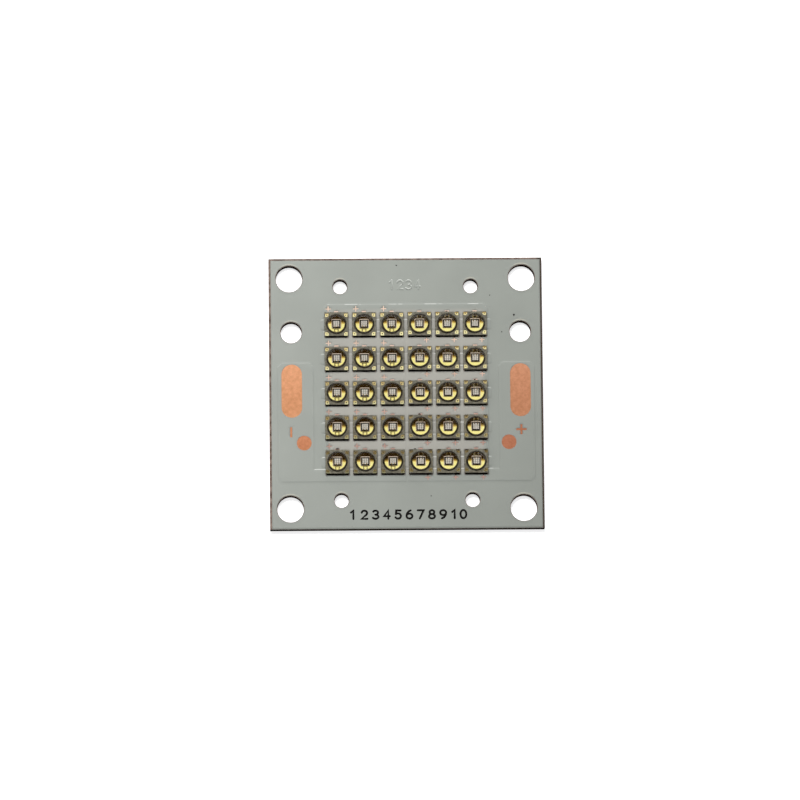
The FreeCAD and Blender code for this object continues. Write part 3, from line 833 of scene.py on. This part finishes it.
def bead_patch():
    """Sloping bead of die-attach metal round the chip: rings round the chip's square, each corner a quarter
    circle, that run out from the chip's wall and down to the gold, then back below to the start."""
    turn = np.radians(np.linspace(0, 90, BEAD_STEPS)[None] + np.array([0, 90, 180, 270])[:, None])
    half = CHIP_SIDE / 2 * CHIP_SHRINK
    corner = np.array([(1, 1), (-1, 1), (-1, -1), (1, -1)])[:, None] * (half - BEAD_BEND)
    around = np.stack([np.cos(turn), np.sin(turn)], axis=-1)
    count = 4 * BEAD_STEPS
    rings = [np.column_stack([(corner + (BEAD_BEND + out) * around).reshape(-1, 2),
                              np.full(count, GOLD_TOP + rise)]) for out, rise in BEAD_PROFILE]
    return np.concatenate(rings), [grid_faces(len(rings) + 1, count, wrap=True) % (len(rings) * count)]


def wire_patch():
    """Two bond wires of one LED, from the chip down to the tab: height falls evenly from the chip's top to
    the gold, plus the rise times the sine of the way, and each end has a flattened ball."""
    package = package_settings()
    way = np.linspace(0, 1, WIRE_STEPS)
    level = CHIP_TOP + (GOLD_TOP - CHIP_TOP) * way + package.wire_radius
    parts = []
    for side in (-1, 1):
        x = side * WIRE_ASIDE
        path = np.column_stack([np.full(WIRE_STEPS, x), WIRE_START + (WIRE_END - WIRE_START) * way,
                                level + package.wire_rise * np.sin(math.pi * way)])
        parts.append(tube(path, package.wire_radius))
        parts.append(stud(x, WIRE_START, CHIP_TOP, BALL_RADIUS, BALL_HEIGHTS[0]))
        parts.append(stud(x, WIRE_END, GOLD_TOP, BALL_RADIUS, BALL_HEIGHTS[1]))
    return join(parts)


def stroke_path(stroke):
    """Points of one stroke of a figure in its cell: the corners of a run, or middle + (half width times
    cosine, half height times sine) along a bend."""
    if stroke[0] == "run":
        return np.array(stroke[1:], dtype=float)
    _, x, y, across, along, start, end = stroke
    turn = np.radians(np.linspace(start, end, max(5, int(abs(end - start) / BEND_STEP))))
    return np.column_stack([x + across * np.cos(turn), y + along * np.sin(turn)])


def ridge(path, width, height, base):
    """A stroke with round ends along a level path: across it a low arch, height times the cosine of a
    quarter turn each way, and at both ends the cross-section shrinks as a half circle does."""
    steps = np.diff(path, axis=0)
    steps /= np.linalg.norm(steps, axis=1, keepdims=True)
    ahead = np.concatenate([steps[:1], steps[:-1] + steps[1:], steps[-1:]])
    bent = np.linalg.norm(ahead, axis=1)
    ahead /= bent[:, None]
    miter = np.ones(len(path))
    miter[1:-1] = np.minimum(MITER_LIMIT, 2 / bent[1:-1])
    shrink = np.concatenate([np.cos(STROKE_ENDS), miter, np.cos(STROKE_ENDS[::-1])])
    beyond = np.sin(STROKE_ENDS)[:, None] * width / 2
    spine = np.concatenate([path[:1] - ahead[:1] * beyond, path, path[-1:] + ahead[-1:] * beyond[::-1]])
    ahead = np.concatenate([np.repeat(ahead[:1], 3, axis=0), ahead, np.repeat(ahead[-1:], 3, axis=0)])
    aside = np.column_stack([-ahead[:, 1], ahead[:, 0]])
    offset = np.append(np.sin(STROKE_ARCH), [1, -1]) * width / 2
    level = np.append(np.cos(STROKE_ARCH) * height, [-STROKE_SUNK, -STROKE_SUNK])
    points = np.empty((len(spine), len(offset), 3))
    points[..., :2] = spine[:, None] + aside[:, None] * (offset[None] * shrink[:, None])[..., None]
    points[..., 2] = base + np.where(level > 0, level * np.sqrt(np.minimum(shrink, 1))[:, None], level)
    around = np.arange(len(offset))
    caps = [around[None], around[None, ::-1] + (len(spine) - 1) * len(offset)]
    return points.reshape(-1, 3), [grid_faces(len(spine), len(offset), wrap=True)[:, ::-1]] + caps


def figures_patch(line, size, middle, width, height, base):
    """A line of plain figures as strokes, stretched to a size about a middle."""
    start, strokes = 0.0, []
    for sign in line:
        strokes += [stroke_path(stroke) + (start, 0) for stroke in FIGURES.get(sign, [])]
        start += SPACE_PITCH if sign == " " else FIGURE_PITCH
    reach = start - FIGURE_PITCH + FIGURE_WIDTH
    inner = np.array(size) - width
    return join([ridge((stroke / (reach, 1) - 0.5) * inner + middle, width, height, base)
                 for stroke in strokes])


def speck_patch():
    """Small marks on the coat: round outlines whose radius swells three and five times round."""
    angle = np.linspace(0, 2 * math.pi, SPECK_SIDES, endpoint=False)
    parts = []
    for number, (x, y, width, depth) in enumerate(SPECKS):
        swell = 1 + (SPECK_SWELL[0] * np.sin(3 * angle + number)
                     + SPECK_SWELL[1] * np.sin(5 * angle + 2 * number))
        outline = directions(SPECK_SIDES) * (width / 2, depth / 2) * swell[:, None] + (x, y)
        level = float(coat_height(np.array([x]), np.array([y]), [])[0])
        parts.append(plate(outline, level - SPECK_THICK, level + SPECK_THICK))
    return join(parts)


class Net:
    """The nodes of a material or world in the making. What a socket is given is linked to it if it is a
    node or a socket, and is its value otherwise."""

    def __init__(self, owner, bare=True):
        owner.use_nodes = True
        self.tree = owner.node_tree
        if bare:
            self.tree.nodes.clear()

    def give(self, socket, value):
        """Link a socket to a node or socket, or set its value; a colour is opaque."""
        if isinstance(value, bpy.types.Node):
            value = value.outputs[0]
        if isinstance(value, bpy.types.NodeSocket):
            self.tree.links.new(value, socket)
        else:
            socket.default_value = (*value, 1) if socket.type == "RGBA" else value

    def fill(self, node, **inputs):
        for name, value in inputs.items():
            self.give(node.inputs[name.replace("_", " ")], value)

    def node(self, kind, *values, operation=None, **inputs):
        """A node with its first sockets given by order and others by name."""
        node = self.tree.nodes.new(f"ShaderNode{kind}")
        if operation:
            node.operation = operation
        for socket, value in zip(node.inputs, values):
            self.give(socket, value)
        self.fill(node, **inputs)
        return node

    def math(self, operation, *values):
        return self.node("Math", *values, operation=operation).outputs[0]

    def product(self, first, *others):
        for other in others:
            first = self.math("MULTIPLY", first, other)
        return first

    def ramp(self, value, start, end, low=0.0, high=1.0):
        """The value mapped smoothly from start..end to low..high."""
        return self.node("MapRange", value, start, end, low, high).outputs["Result"]

    def blend(self, factor, first, second):
        """A colour from first to second by a factor."""
        mix = self.tree.nodes.new("ShaderNodeMix")
        mix.data_type = "RGBA"
        for number, value in ((0, factor), (6, first), (7, second)):
            self.give(mix.inputs[number], value)
        return mix.outputs[2]

    def end(self, kind, shader):
        """Give the shader to the output."""
        self.node(f"Output{kind}", Surface=shader)


class Finish(Net):
    """A procedural material in the making: a Principled shader, and noise in object coordinates behind it."""

    def __init__(self, name, base, roughness, metallic=0.0, specular=0.5):
        self.material = bpy.data.materials.new(name)
        super().__init__(self.material, bare=False)
        self.shader = self.tree.nodes["Principled BSDF"]
        self.fill(self.shader, Base_Color=base, Roughness=roughness, Metallic=metallic,
                  Specular_IOR_Level=specular)
        self.place = self.node("TexCoord").outputs["Object"]

    def noise(self, size, detail=3.0, roughness=0.5, stretch=(1, 1, 1)):
        """Noise whose blots are about size wide, drawn out along the axes where stretch is below 1."""
        scale = tuple(share / size for share in stretch)
        place = self.node("VectorMath", self.place, scale, operation="MULTIPLY")
        blots = self.node("TexNoise", Vector=place, Scale=1.0, Detail=detail, Roughness=roughness)
        return blots.outputs["Fac"]

    def toned(self, colour, value, saturation=1.0, hue=0.5):
        """The colour made lighter, stronger or of another hue."""
        return self.node("HueSaturation", Color=colour, Hue=hue, Saturation=saturation, Value=value, Fac=1.0)

    def facing(self, axis):
        """How far the surface faces along an axis, -1 to 1."""
        normal = self.node("NewGeometry").outputs["Normal"]
        return self.node("SeparateXYZ", normal).outputs[axis]

    def walls(self):
        """1 on upright walls and 0 on level faces."""
        return self.ramp(self.math("ABSOLUTE", self.facing("Z")), 0.7, 0.4)

    def along(self, axis, start, end):
        """0 on start's side along an axis, 1 on end's side."""
        return self.ramp(self.node("SeparateXYZ", self.place).outputs[axis], start, end)

    def stored(self, name):
        """The number kept in the mesh under a name."""
        kept = self.node("Attribute")
        kept.attribute_name = name
        return kept.outputs["Fac"]

    def grain(self, value, low, high):
        """Roughness from low to high by a noise value."""
        self.fill(self.shader, Roughness=self.ramp(value, 0.3, 0.7, low, high))

    def relief(self, value, depth, strength=0.5):
        """Bump of a depth by a noise value."""
        self.fill(self.shader, Normal=self.node("Bump", Height=value, Distance=depth, Strength=strength))

    def brushed(self):
        """The fine grain of rolled metal, drawn out along Y."""
        self.relief(self.noise(0.10 * MM, detail=4, stretch=(1, 0.25, 1)), 0.006 * MM, strength=0.6)

    def paint(self, colour):
        self.fill(self.shader, Base_Color=colour)


def ink_finish(name, painted_relief_light=False):
    """Coat of the board: a grey with wide faint blots and fine orange peel, deepened from left to right and
    towards the bottom by painted shade, and painted lighter and warmer over the LEDs' field to offset the
    shade they cast. Painted highlights make pale streaks where the coat falls towards +Y off the copper, and
    a pale band on the holes' lips. For the raised number the slopes facing +Y get a painted highlight and
    those facing -Y painted shade."""
    coat = coat_settings()
    finish = Finish(name, coat.ink, 0.42)
    # Painted shade: the coat darkens from left to right as the light falls off
    body = finish.blend(finish.along("X", -BOARD_HALF, BOARD_HALF), coat.ink, coat.ink_right_painted_shade)
    # Painted light: lighter and warmer across the LEDs' field, to offset the shade the LEDs cast
    field = finish.product(*(finish.along(axis, edge, edge + fade) for axis, edge, fade in (
        ("X", -FIELD_X, FIELD_FADE), ("X", FIELD_X, -FIELD_FADE),
        ("Y", FIELD_Y[0], FIELD_FADE), ("Y", FIELD_Y[1], -FIELD_FADE))))
    body = finish.blend(finish.ramp(field, 0, 1, 0, 0.7), body, coat.ink_field_painted_light)
    wide = finish.ramp(finish.noise(7 * MM, detail=2), 0.3, 0.7)
    # The wide blots are the coat's own uneven tone; the darkening towards the bottom is painted shade
    for factor in (wide, finish.along("Y", BOARD_HALF, -BOARD_HALF)):
        body = finish.blend(factor, body, finish.toned(body, 0.93))
    # Painted highlight: pale streaks where the coat falls towards +Y off the copper, set by the stored masks
    # and streaky noise
    steep = finish.ramp(finish.stored("glint"), 0.45, 0.95)
    streak = finish.ramp(finish.noise(2.6 * MM, detail=1, stretch=(1, 0.2, 1)), 0.54, 0.60, 0.2, 1.0)
    streak = finish.product(streak, finish.along("Y", LIT_FROM, LIT_FROM - LIT_FADE))
    lit = finish.math("MAXIMUM", streak, finish.stored("lit"))
    body = finish.blend(finish.product(steep, lit), body, coat.glint)
    # Painted highlight: a pale band on the holes' lips where they fall towards +Y
    body = finish.blend(finish.ramp(finish.stored("lip"), 0.5, 1.0, 0, 0.5), body, coat.lip)
    # Painted highlight on slopes facing +Y and painted shade on those facing -Y, by the surface's normal
    if painted_relief_light:
        towards = finish.facing("Y")
        body = finish.blend(finish.ramp(towards, 0.08, 0.35), body, coat.glint)
        body = finish.blend(finish.ramp(towards, -0.08, -0.45, 0, 0.9), body, coat.painted_relief_shade)
    finish.paint(body)
    finish.grain(finish.noise(0.6 * MM), 0.36, 0.48)
    finish.relief(finish.noise(0.12 * MM), 0.004 * MM)
    return finish.material


def core_finish(name, light, dark, wall):
    """Core of the board: mottled, oxidised copper on its level faces, and dark sawn walls that are nearly
    black, partly from the copper's dark oxide and partly painted shade.
    """
    finish = Finish(name, light, 0.55, metallic=0.35, specular=0.0)
    finish.fill(finish.shader, Metallic=finish.ramp(finish.walls(), 0, 1, 0.35, 0))
    mottle = finish.ramp(finish.noise(0.9 * MM, detail=5, roughness=0.65), 0.35, 0.68)
    sawn = finish.blend(finish.noise(0.4 * MM, stretch=(1, 1, 0.2)), wall, shade(wall, 2.2))
    finish.paint(finish.blend(finish.walls(), finish.blend(mottle, light, dark), sawn))
    finish.grain(finish.noise(0.3 * MM), 0.5, 0.65)
    finish.brushed()
    return finish.material


def copper_finish(name, left, right, marks, low_marks, roughness, metallic):
    """Bare copper in mottled blots with a fine brushed grain: one colour left and one right of the middle,
    each paler high up, and others for the small marks between, from the upper row to the lower one."""
    finish = Finish(name, left, roughness, metallic)
    mottle = finish.ramp(finish.noise(0.5 * MM, detail=5, roughness=0.65), 0.35, 0.68)
    sides = finish.blend(finish.along("X", -1 * MM, 1 * MM), left, right)
    sides = finish.blend(finish.along("Y", *TARNISH_Y), sides, finish.toned(sides, 0.87, 1.035, 0.492))
    sides = finish.blend(finish.along("Y", *PALE_Y), sides, finish.toned(sides, 1.16, 0.97))
    outer, inner = MARKS_X
    between = finish.product(finish.along("X", -outer, -inner), finish.along("X", outer, inner))
    colours = finish.blend(between, sides, finish.blend(finish.along("Y", *MARKS_Y), marks, low_marks))
    finish.fill(finish.shader, Metallic=finish.ramp(between, 0, 1, metallic, 0.05))
    finish.paint(finish.blend(mottle, colours, finish.toned(colours, 0.80, 1.05)))
    finish.grain(finish.noise(0.3 * MM), roughness - 0.06, roughness + 0.1)
    finish.brushed()
    return finish.material


def grained_finish(name, light, dark, roughness, metallic=0.0, blot=0.3 * MM, depth=0.004 * MM, specular=0.5,
                   wall=None, far=None):
    """Two close colours in small blots with a fine grain, for ceramic, film, gold, tin, chip and print;
    upright walls may have a dark colour of their own, which is painted shade, and the board's right edge
    may have a colour of its own."""
    finish = Finish(name, light, roughness, metallic, specular)
    body = finish.blend(finish.ramp(finish.noise(blot), 0.35, 0.65), light, dark)
    if far:
        body = finish.blend(finish.along("X", *FAR_X), body, far)
    finish.paint(finish.blend(finish.walls(), body, wall) if wall else body)
    finish.grain(finish.noise(blot / 2), roughness * 0.85, roughness * 1.15)
    if depth:
        finish.relief(finish.noise(blot / 3), depth)
    return finish.material


def silicone_finish(name):
    """Clear silicone that bends light and mirrors none of the room."""
    finish = Finish(name, (1.0, 1.0, 1.0), 0.02, specular=0.0)
    finish.fill(finish.shader, Transmission_Weight=1.0, IOR=SILICONE_IOR)
    return finish.material


def shade(tint, share):
    """A colour darkened to a share of itself."""
    return tuple(channel * share for channel in tint)


class LEDARRAY_OT_board(bpy.types.Operator):
    """Finish the core, film, circuit and solder as they come from the frame"""

    bl_idname = "led_array.board"
    bl_label = "Board"

    def execute(self, context):
        # Nearly black colour of the board's cut walls: partly dark oxide, partly painted shade
        cut = shown(16, 11, 8)
        finishes = {
            "core_plate": core_finish("oxidised_copper", shown(150, 104, 82), shown(108, 74, 60), cut),
            "dielectric_layer": grained_finish("board_film", shown(146, 128, 118), shown(96, 78, 70), 0.6,
                                               blot=0.8 * MM, specular=0.02, wall=cut, far=shown(74, 64, 58)),
            "circuit_": copper_finish("bare_copper", shown(236, 168, 124), shown(210, 146, 110),
                                      shown(250, 220, 198), shown(194, 156, 143), 0.40, metallic=0.35),
            "led_solder_": grained_finish("solder_tin", shown(190, 190, 188), shown(150, 150, 150), 0.35,
                                          metallic=0.9),
        }
        for node, piece in frame["nodes"].items():
            for start, material in finishes.items():
                if node.startswith(start):
                    piece.data.materials.clear()
                    piece.data.materials.append(material)
        return {"FINISHED"}


class LEDARRAY_OT_coat(bpy.types.Operator):
    """Lay the solder mask over the board's relief, open at pads, marks and packages"""

    bl_idname = "led_array.coat"
    bl_label = "Coat"

    def execute(self, context):
        patch = coat_patch()
        piece = new_piece("solder_mask_coat", patch, ink_finish("mask_ink"), ("solder_mask",),
                          sharp=60)
        store_glint(piece.data, patch[0])
        body = piece.modifiers.new("coat_body", "SOLIDIFY")
        body.thickness = (COAT_TOP - COPPER_TOP) * COAT_SHARE
        body.offset = -1
        return {"FINISHED"}


class LEDARRAY_OT_figures(bpy.types.Operator):
    """Put plain figures in the places of the board's print and raised number, and its few specks"""

    bl_idname = "led_array.figures"
    bl_label = "Figures and specks"

    def execute(self, context):
        film = BOARD_TOP + (COAT_TOP - COPPER_TOP)
        black = grained_finish("print_black", shown(15, 15, 14), shown(24, 24, 22), 0.6, specular=0.1)
        legend = figures_patch(LEGEND, LEGEND_SIZE, LEGEND_PLACE, LEGEND_STROKE, PRINT_THICK, film)
        new_piece("legend_print", legend, black)
        number = figures_patch(RAISED, RAISED_SIZE, RAISED_PLACE, RAISED_STROKE, RAISED_THICK, film)
        # The raised number's ink has painted highlight and shade on its slopes
        new_piece("raised_number", number, ink_finish("raised_ink", True), sharp=80)
        speck = grained_finish("speck", shown(24, 23, 22), shown(52, 50, 46), 0.7, blot=0.1 * MM)
        new_piece("specks", speck_patch(), speck)
        return {"FINISHED"}


class LEDARRAY_OT_ceramics(bpy.types.Operator):
    """Make the ceramic base of every LED, and a painted shadow strip below each"""

    bl_idname = "led_array.ceramics"
    bl_label = "Ceramic bases"

    def execute(self, context):
        tint = tuple(package_settings().ceramic)
        # Painted shade: the ceramic's upright walls are nearly black
        finish = grained_finish("led_ceramic", tint, shade(tint, 0.62), 0.5, blot=0.35 * MM, specular=0.02,
                                wall=shown(14, 12, 9))
        block = plate(rectangle(0, 0, PACKAGE_SIDE, PACKAGE_SIDE), CERAMIC_BASE, CERAMIC_TOP)
        # Painted shadow: a dark strip below each LED
        shadow_strip = grained_finish("burnt_flux", shown(14, 10, 8), shown(26, 20, 14), 0.5)
        for row in ROWS:
            row_piece(row, "ceramic", block, finish, "led_substrate", edge=CERAMIC_ROUND,
                      segments=2)
            new_piece(f"shadow_strip_row_{row}", repeated(shadow_strip_patch(), led_centres(row)), shadow_strip)
        return {"FINISHED"}


class LEDARRAY_OT_gold(bpy.types.Operator):
    """Make the gold lands and corner marks of every LED"""

    bl_idname = "led_array.gold"
    bl_label = "Gold lands"

    def execute(self, context):
        package = package_settings()
        finish = grained_finish("gold_land", package.gold, shade(package.gold, 0.94), 0.12, metallic=1.0,
                                blot=0.9 * MM, depth=0)
        # Painted shade: a dark ring over each land's edge, standing in for the dome rim's dark edge
        dim = grained_finish("land_rim", package.rim, shade(package.rim, 0.6), 0.5, blot=0.2 * MM)
        filled = grained_finish("filled_hole", shown(110, 96, 56), shown(80, 68, 40), 0.5, metallic=0.5,
                                blot=0.1 * MM)
        for row in ROWS:
            row_piece(row, "gold_lands", gold_patch(), finish, "led_plating", edge=GOLD_ROUND)
            # Each row's marks get their own copy of the gold, darkened by painted shade; the bump is their
            # wear
            tone = shade(package.mark, MARK_PAINTED_ROW_SHADES[row - 1])
            worn = grained_finish(f"gold_mark_painted_row_shade_{row}", tone, shade(tone, 0.85), 0.12, metallic=1.0,
                                  blot=0.25 * MM, depth=MARK_WEAR)
            row_piece(row, "corner_marks", mark_patch(), worn)
            row_piece(row, "filled_holes", dimple_patch(), filled)
            row_piece(row, "rims", shade_ring_patch(), dim)
        return {"FINISHED"}


class LEDARRAY_OT_chips(bpy.types.Operator):
    """Make every LED's chip, the bright fields on it and the bead that holds it"""

    bl_idname = "led_array.chips"
    bl_label = "Chips"

    def execute(self, context):
        chip, bright = package_settings().chip, package_settings().contact
        body = grained_finish("chip_border", chip, shade(chip, 0.6), 0.3, blot=0.1 * MM, specular=0.1)
        fields = grained_finish("chip_field", bright, shade(bright, 0.85), 0.5, metallic=0.4,
                                blot=0.12 * MM, depth=0)
        bead = grained_finish("chip_bead", shown(240, 226, 206), shown(205, 185, 160), 0.32, metallic=1.0,
                              blot=0.08 * MM, depth=0)
        for row in ROWS:
            row_piece(row, "chip", chip_patch(), body, "led_die", edge=CHIP_ROUND)
            row_piece(row, "chip_fields", contact_patch(), fields)
            row_piece(row, "chip_bead", bead_patch(), bead)
        return {"FINISHED"}


class LEDARRAY_OT_wires(bpy.types.Operator):
    """Make the two bond wires of every LED"""

    bl_idname = "led_array.wires"
    bl_label = "Bond wires"

    def execute(self, context):
        wire = grained_finish("bond_gold", shown(255, 232, 170), shown(240, 210, 140), 0.2, metallic=1.0,
                              blot=0.1 * MM, depth=0.0005 * MM)
        for row in ROWS:
            row_piece(row, "bond_wires", wire_patch(), wire)
        return {"FINISHED"}


class LEDARRAY_OT_lenses(bpy.types.Operator):
    """Make the clear dome and skin of every LED"""

    bl_idname = "led_array.lenses"
    bl_label = "Lenses"

    def execute(self, context):
        finish = silicone_finish("clear_silicone")
        for row in ROWS:
            row_piece(row, "lens", lens_patch(), finish, "led_lens", sharp=50)
        return {"FINISHED"}


def floor_material():
    """White floor that is lit as paper is, with a little light of its own for camera, glossy and transmission
    rays."""
    material = bpy.data.materials.new("white_floor")
    net = Net(material)
    paper = net.node("BsdfDiffuse", Color=(FLOOR_WHITE, FLOOR_WHITE, FLOOR_WHITE))
    glow = net.node("Emission", Strength=net.math("MULTIPLY", seen_rays(net), FLOOR_GLOW))
    net.end("Material", net.node("AddShader", paper, glow))
    return material


def seen_rays(net):
    """1 for camera, glossy and transmission rays, which is what shows a background, and 0 for the rest."""
    path = net.node("LightPath").outputs
    seen = net.math("MAXIMUM", path["Is Camera Ray"], path["Is Glossy Ray"])
    return net.math("MAXIMUM", seen, path["Is Transmission Ray"])


def cosine(degrees):
    """Cosine of an angle in degrees."""
    return math.cos(math.radians(degrees))


def studio_material():
    """Dark brown walls that pale towards the opening's straight edge, and light up for rays that come from
    a dull surface under glass: so the parts under the domes get the same plain light as the rest."""
    material = bpy.data.materials.new("studio_walls")
    net = Net(material)
    place = net.node("TexCoord").outputs["Object"]
    middle = (0, -cosine(OPEN_MIDDLE), math.sin(math.radians(OPEN_MIDDLE)))
    edges = []
    for ahead, start, end in (((0, 1, 0), -cosine(DIM_FROM), -cosine(OPEN_FROM)),
                              (middle, cosine(OPEN_REACH + DIM_REACH), cosine(OPEN_REACH))):
        way = net.node("VectorMath", place, ahead, operation="DOT_PRODUCT").outputs["Value"]
        edges.append(net.ramp(way, start * STUDIO_RADIUS, end * STUDIO_RADIUS))
    pale = net.math("POWER", net.product(*edges), DIM_POWER)
    walls = net.node("Emission", Color=net.blend(pale, shown(*STUDIO_COLOUR), shown(*DIM_COLOUR)))
    plain = net.node("Emission", Strength=UNDER_GLASS)
    net.end("Material", net.node("MixShader", net.node("LightPath").outputs["Diffuse Depth"], walls, plain))
    return material


def dark_studio():
    """Dark walls and ceiling of the studio, seen only in metal and glass, with one opening over the far
    side. A point of the shell is its radius times (sin b, -cos b cos a, cos b sin a): a goes from the near
    horizon over the top to the far one, and b from left to right. The opening is a round cap cut off
    straight on its near side."""
    a = np.radians(np.linspace(STUDIO_FROM, STUDIO_TO, STUDIO_STEPS[0]))
    b = np.radians(np.linspace(-90, 90, STUDIO_STEPS[1]))
    over, across = np.meshgrid(a, b, indexing="ij")
    points = STUDIO_RADIUS * np.stack([np.sin(across), -np.cos(across) * np.cos(over),
                                       np.cos(across) * np.sin(over)], axis=-1)
    middle_a, middle_b = np.meshgrid((a[:-1] + a[1:]) / 2, (b[:-1] + b[1:]) / 2, indexing="ij")
    nearness = np.cos(middle_b) * np.cos(middle_a - math.radians(OPEN_MIDDLE))
    open_sky = (nearness > cosine(OPEN_REACH)) & (middle_a > math.radians(OPEN_FROM))
    faces = grid_faces(len(a), len(b))[~open_sky.ravel()]
    studio = new_mesh("dark_studio", points.reshape(-1, 3), faces.tolist(), studio_material())
    studio.visible_camera = False
    studio.visible_diffuse = False
    studio.visible_shadow = False


def soft_lamp(name, place, side, power):
    """A square lamp that faces the board's centre and isn't seen in metal or glass."""
    light = bpy.data.lights.new(name, "AREA")
    light.size = side
    light.energy = power
    lamp = placed(name, light)
    lamp.location = place
    lamp.rotation_euler = (-lamp.location).to_track_quat("-Z", "Y").to_euler()
    lamp.visible_glossy = False
    lamp.visible_transmission = False


class LEDARRAY_OT_stage(bpy.types.Operator):
    """Set the floor, the light and the camera"""

    bl_idname = "led_array.stage"
    bl_label = "Stage"

    def execute(self, context):
        stage = stage_settings()
        scene = context.scene
        scene.view_settings.view_transform = "Standard"
        points = np.column_stack([rectangle(0, 0, FLOOR_SIDE, FLOOR_SIDE), np.full(4, -FLOOR_DROP)])
        floor = new_mesh("floor", points, [(0, 1, 2, 3)], floor_material())
        dark_studio()
        soft_lamp("key_lamp", KEY_PLACE, KEY_SIDE, stage.key_power)
        scene.world = bpy.data.worlds.new("studio")
        net = Net(scene.world)
        around = net.node("Background", Color=shown(*AMBIENT_COLOUR), Strength=stage.ambient)
        white = net.node("Background", Color=(1, 1, 1))
        net.end("World", net.node("MixShader", seen_rays(net), around, white))
        lens = bpy.data.cameras.new("camera")
        lens.lens = stage.camera_lens
        camera = placed("camera", lens)
        camera.location = stage.camera_place
        camera.rotation_euler = stage.camera_turn
        scene.camera = camera
        return {"FINISHED"}


class LEDARRAY_PT_panel(bpy.types.Panel):
    """The module's pieces and settings"""

    bl_label = "LED Array Module"
    bl_idname = "LEDARRAY_PT_panel"
    bl_space_type = "VIEW_3D"
    bl_region_type = "UI"
    bl_category = "LED Array"

    def draw(self, context):
        for operator in OPERATORS:
            self.layout.operator(operator.bl_idname)
        for settings in (context.scene.led_coat, context.scene.led_package, context.scene.led_stage):
            box = self.layout.box()
            for name in settings.__annotations__:
                box.prop(settings, name)


OPERATORS = (LEDARRAY_OT_board, LEDARRAY_OT_coat, LEDARRAY_OT_figures, LEDARRAY_OT_ceramics, LEDARRAY_OT_gold,
             LEDARRAY_OT_chips, LEDARRAY_OT_wires, LEDARRAY_OT_lenses, LEDARRAY_OT_stage)
GROUPS = {"led_coat": LedCoatSettings, "led_package": LedPackageSettings, "led_stage": LedStageSettings}


def register():
    for item in (*GROUPS.values(), *OPERATORS, LEDARRAY_PT_panel):
        bpy.utils.register_class(item)
    for name, group in GROUPS.items():
        setattr(bpy.types.Scene, name, PointerProperty(type=group))


def unregister():
    for name in GROUPS:
        delattr(bpy.types.Scene, name)
    for item in reversed((*GROUPS.values(), *OPERATORS, LEDARRAY_PT_panel)):
        bpy.utils.unregister_class(item)


def main():
    register()
    bpy.ops.led_array.board()
    bpy.ops.led_array.coat()
    bpy.ops.led_array.figures()
    bpy.ops.led_array.ceramics()
    bpy.ops.led_array.gold()
    bpy.ops.led_array.chips()
    bpy.ops.led_array.wires()
    bpy.ops.led_array.lenses()
    bpy.ops.led_array.stage()


if __name__ == "__main__":
    main()
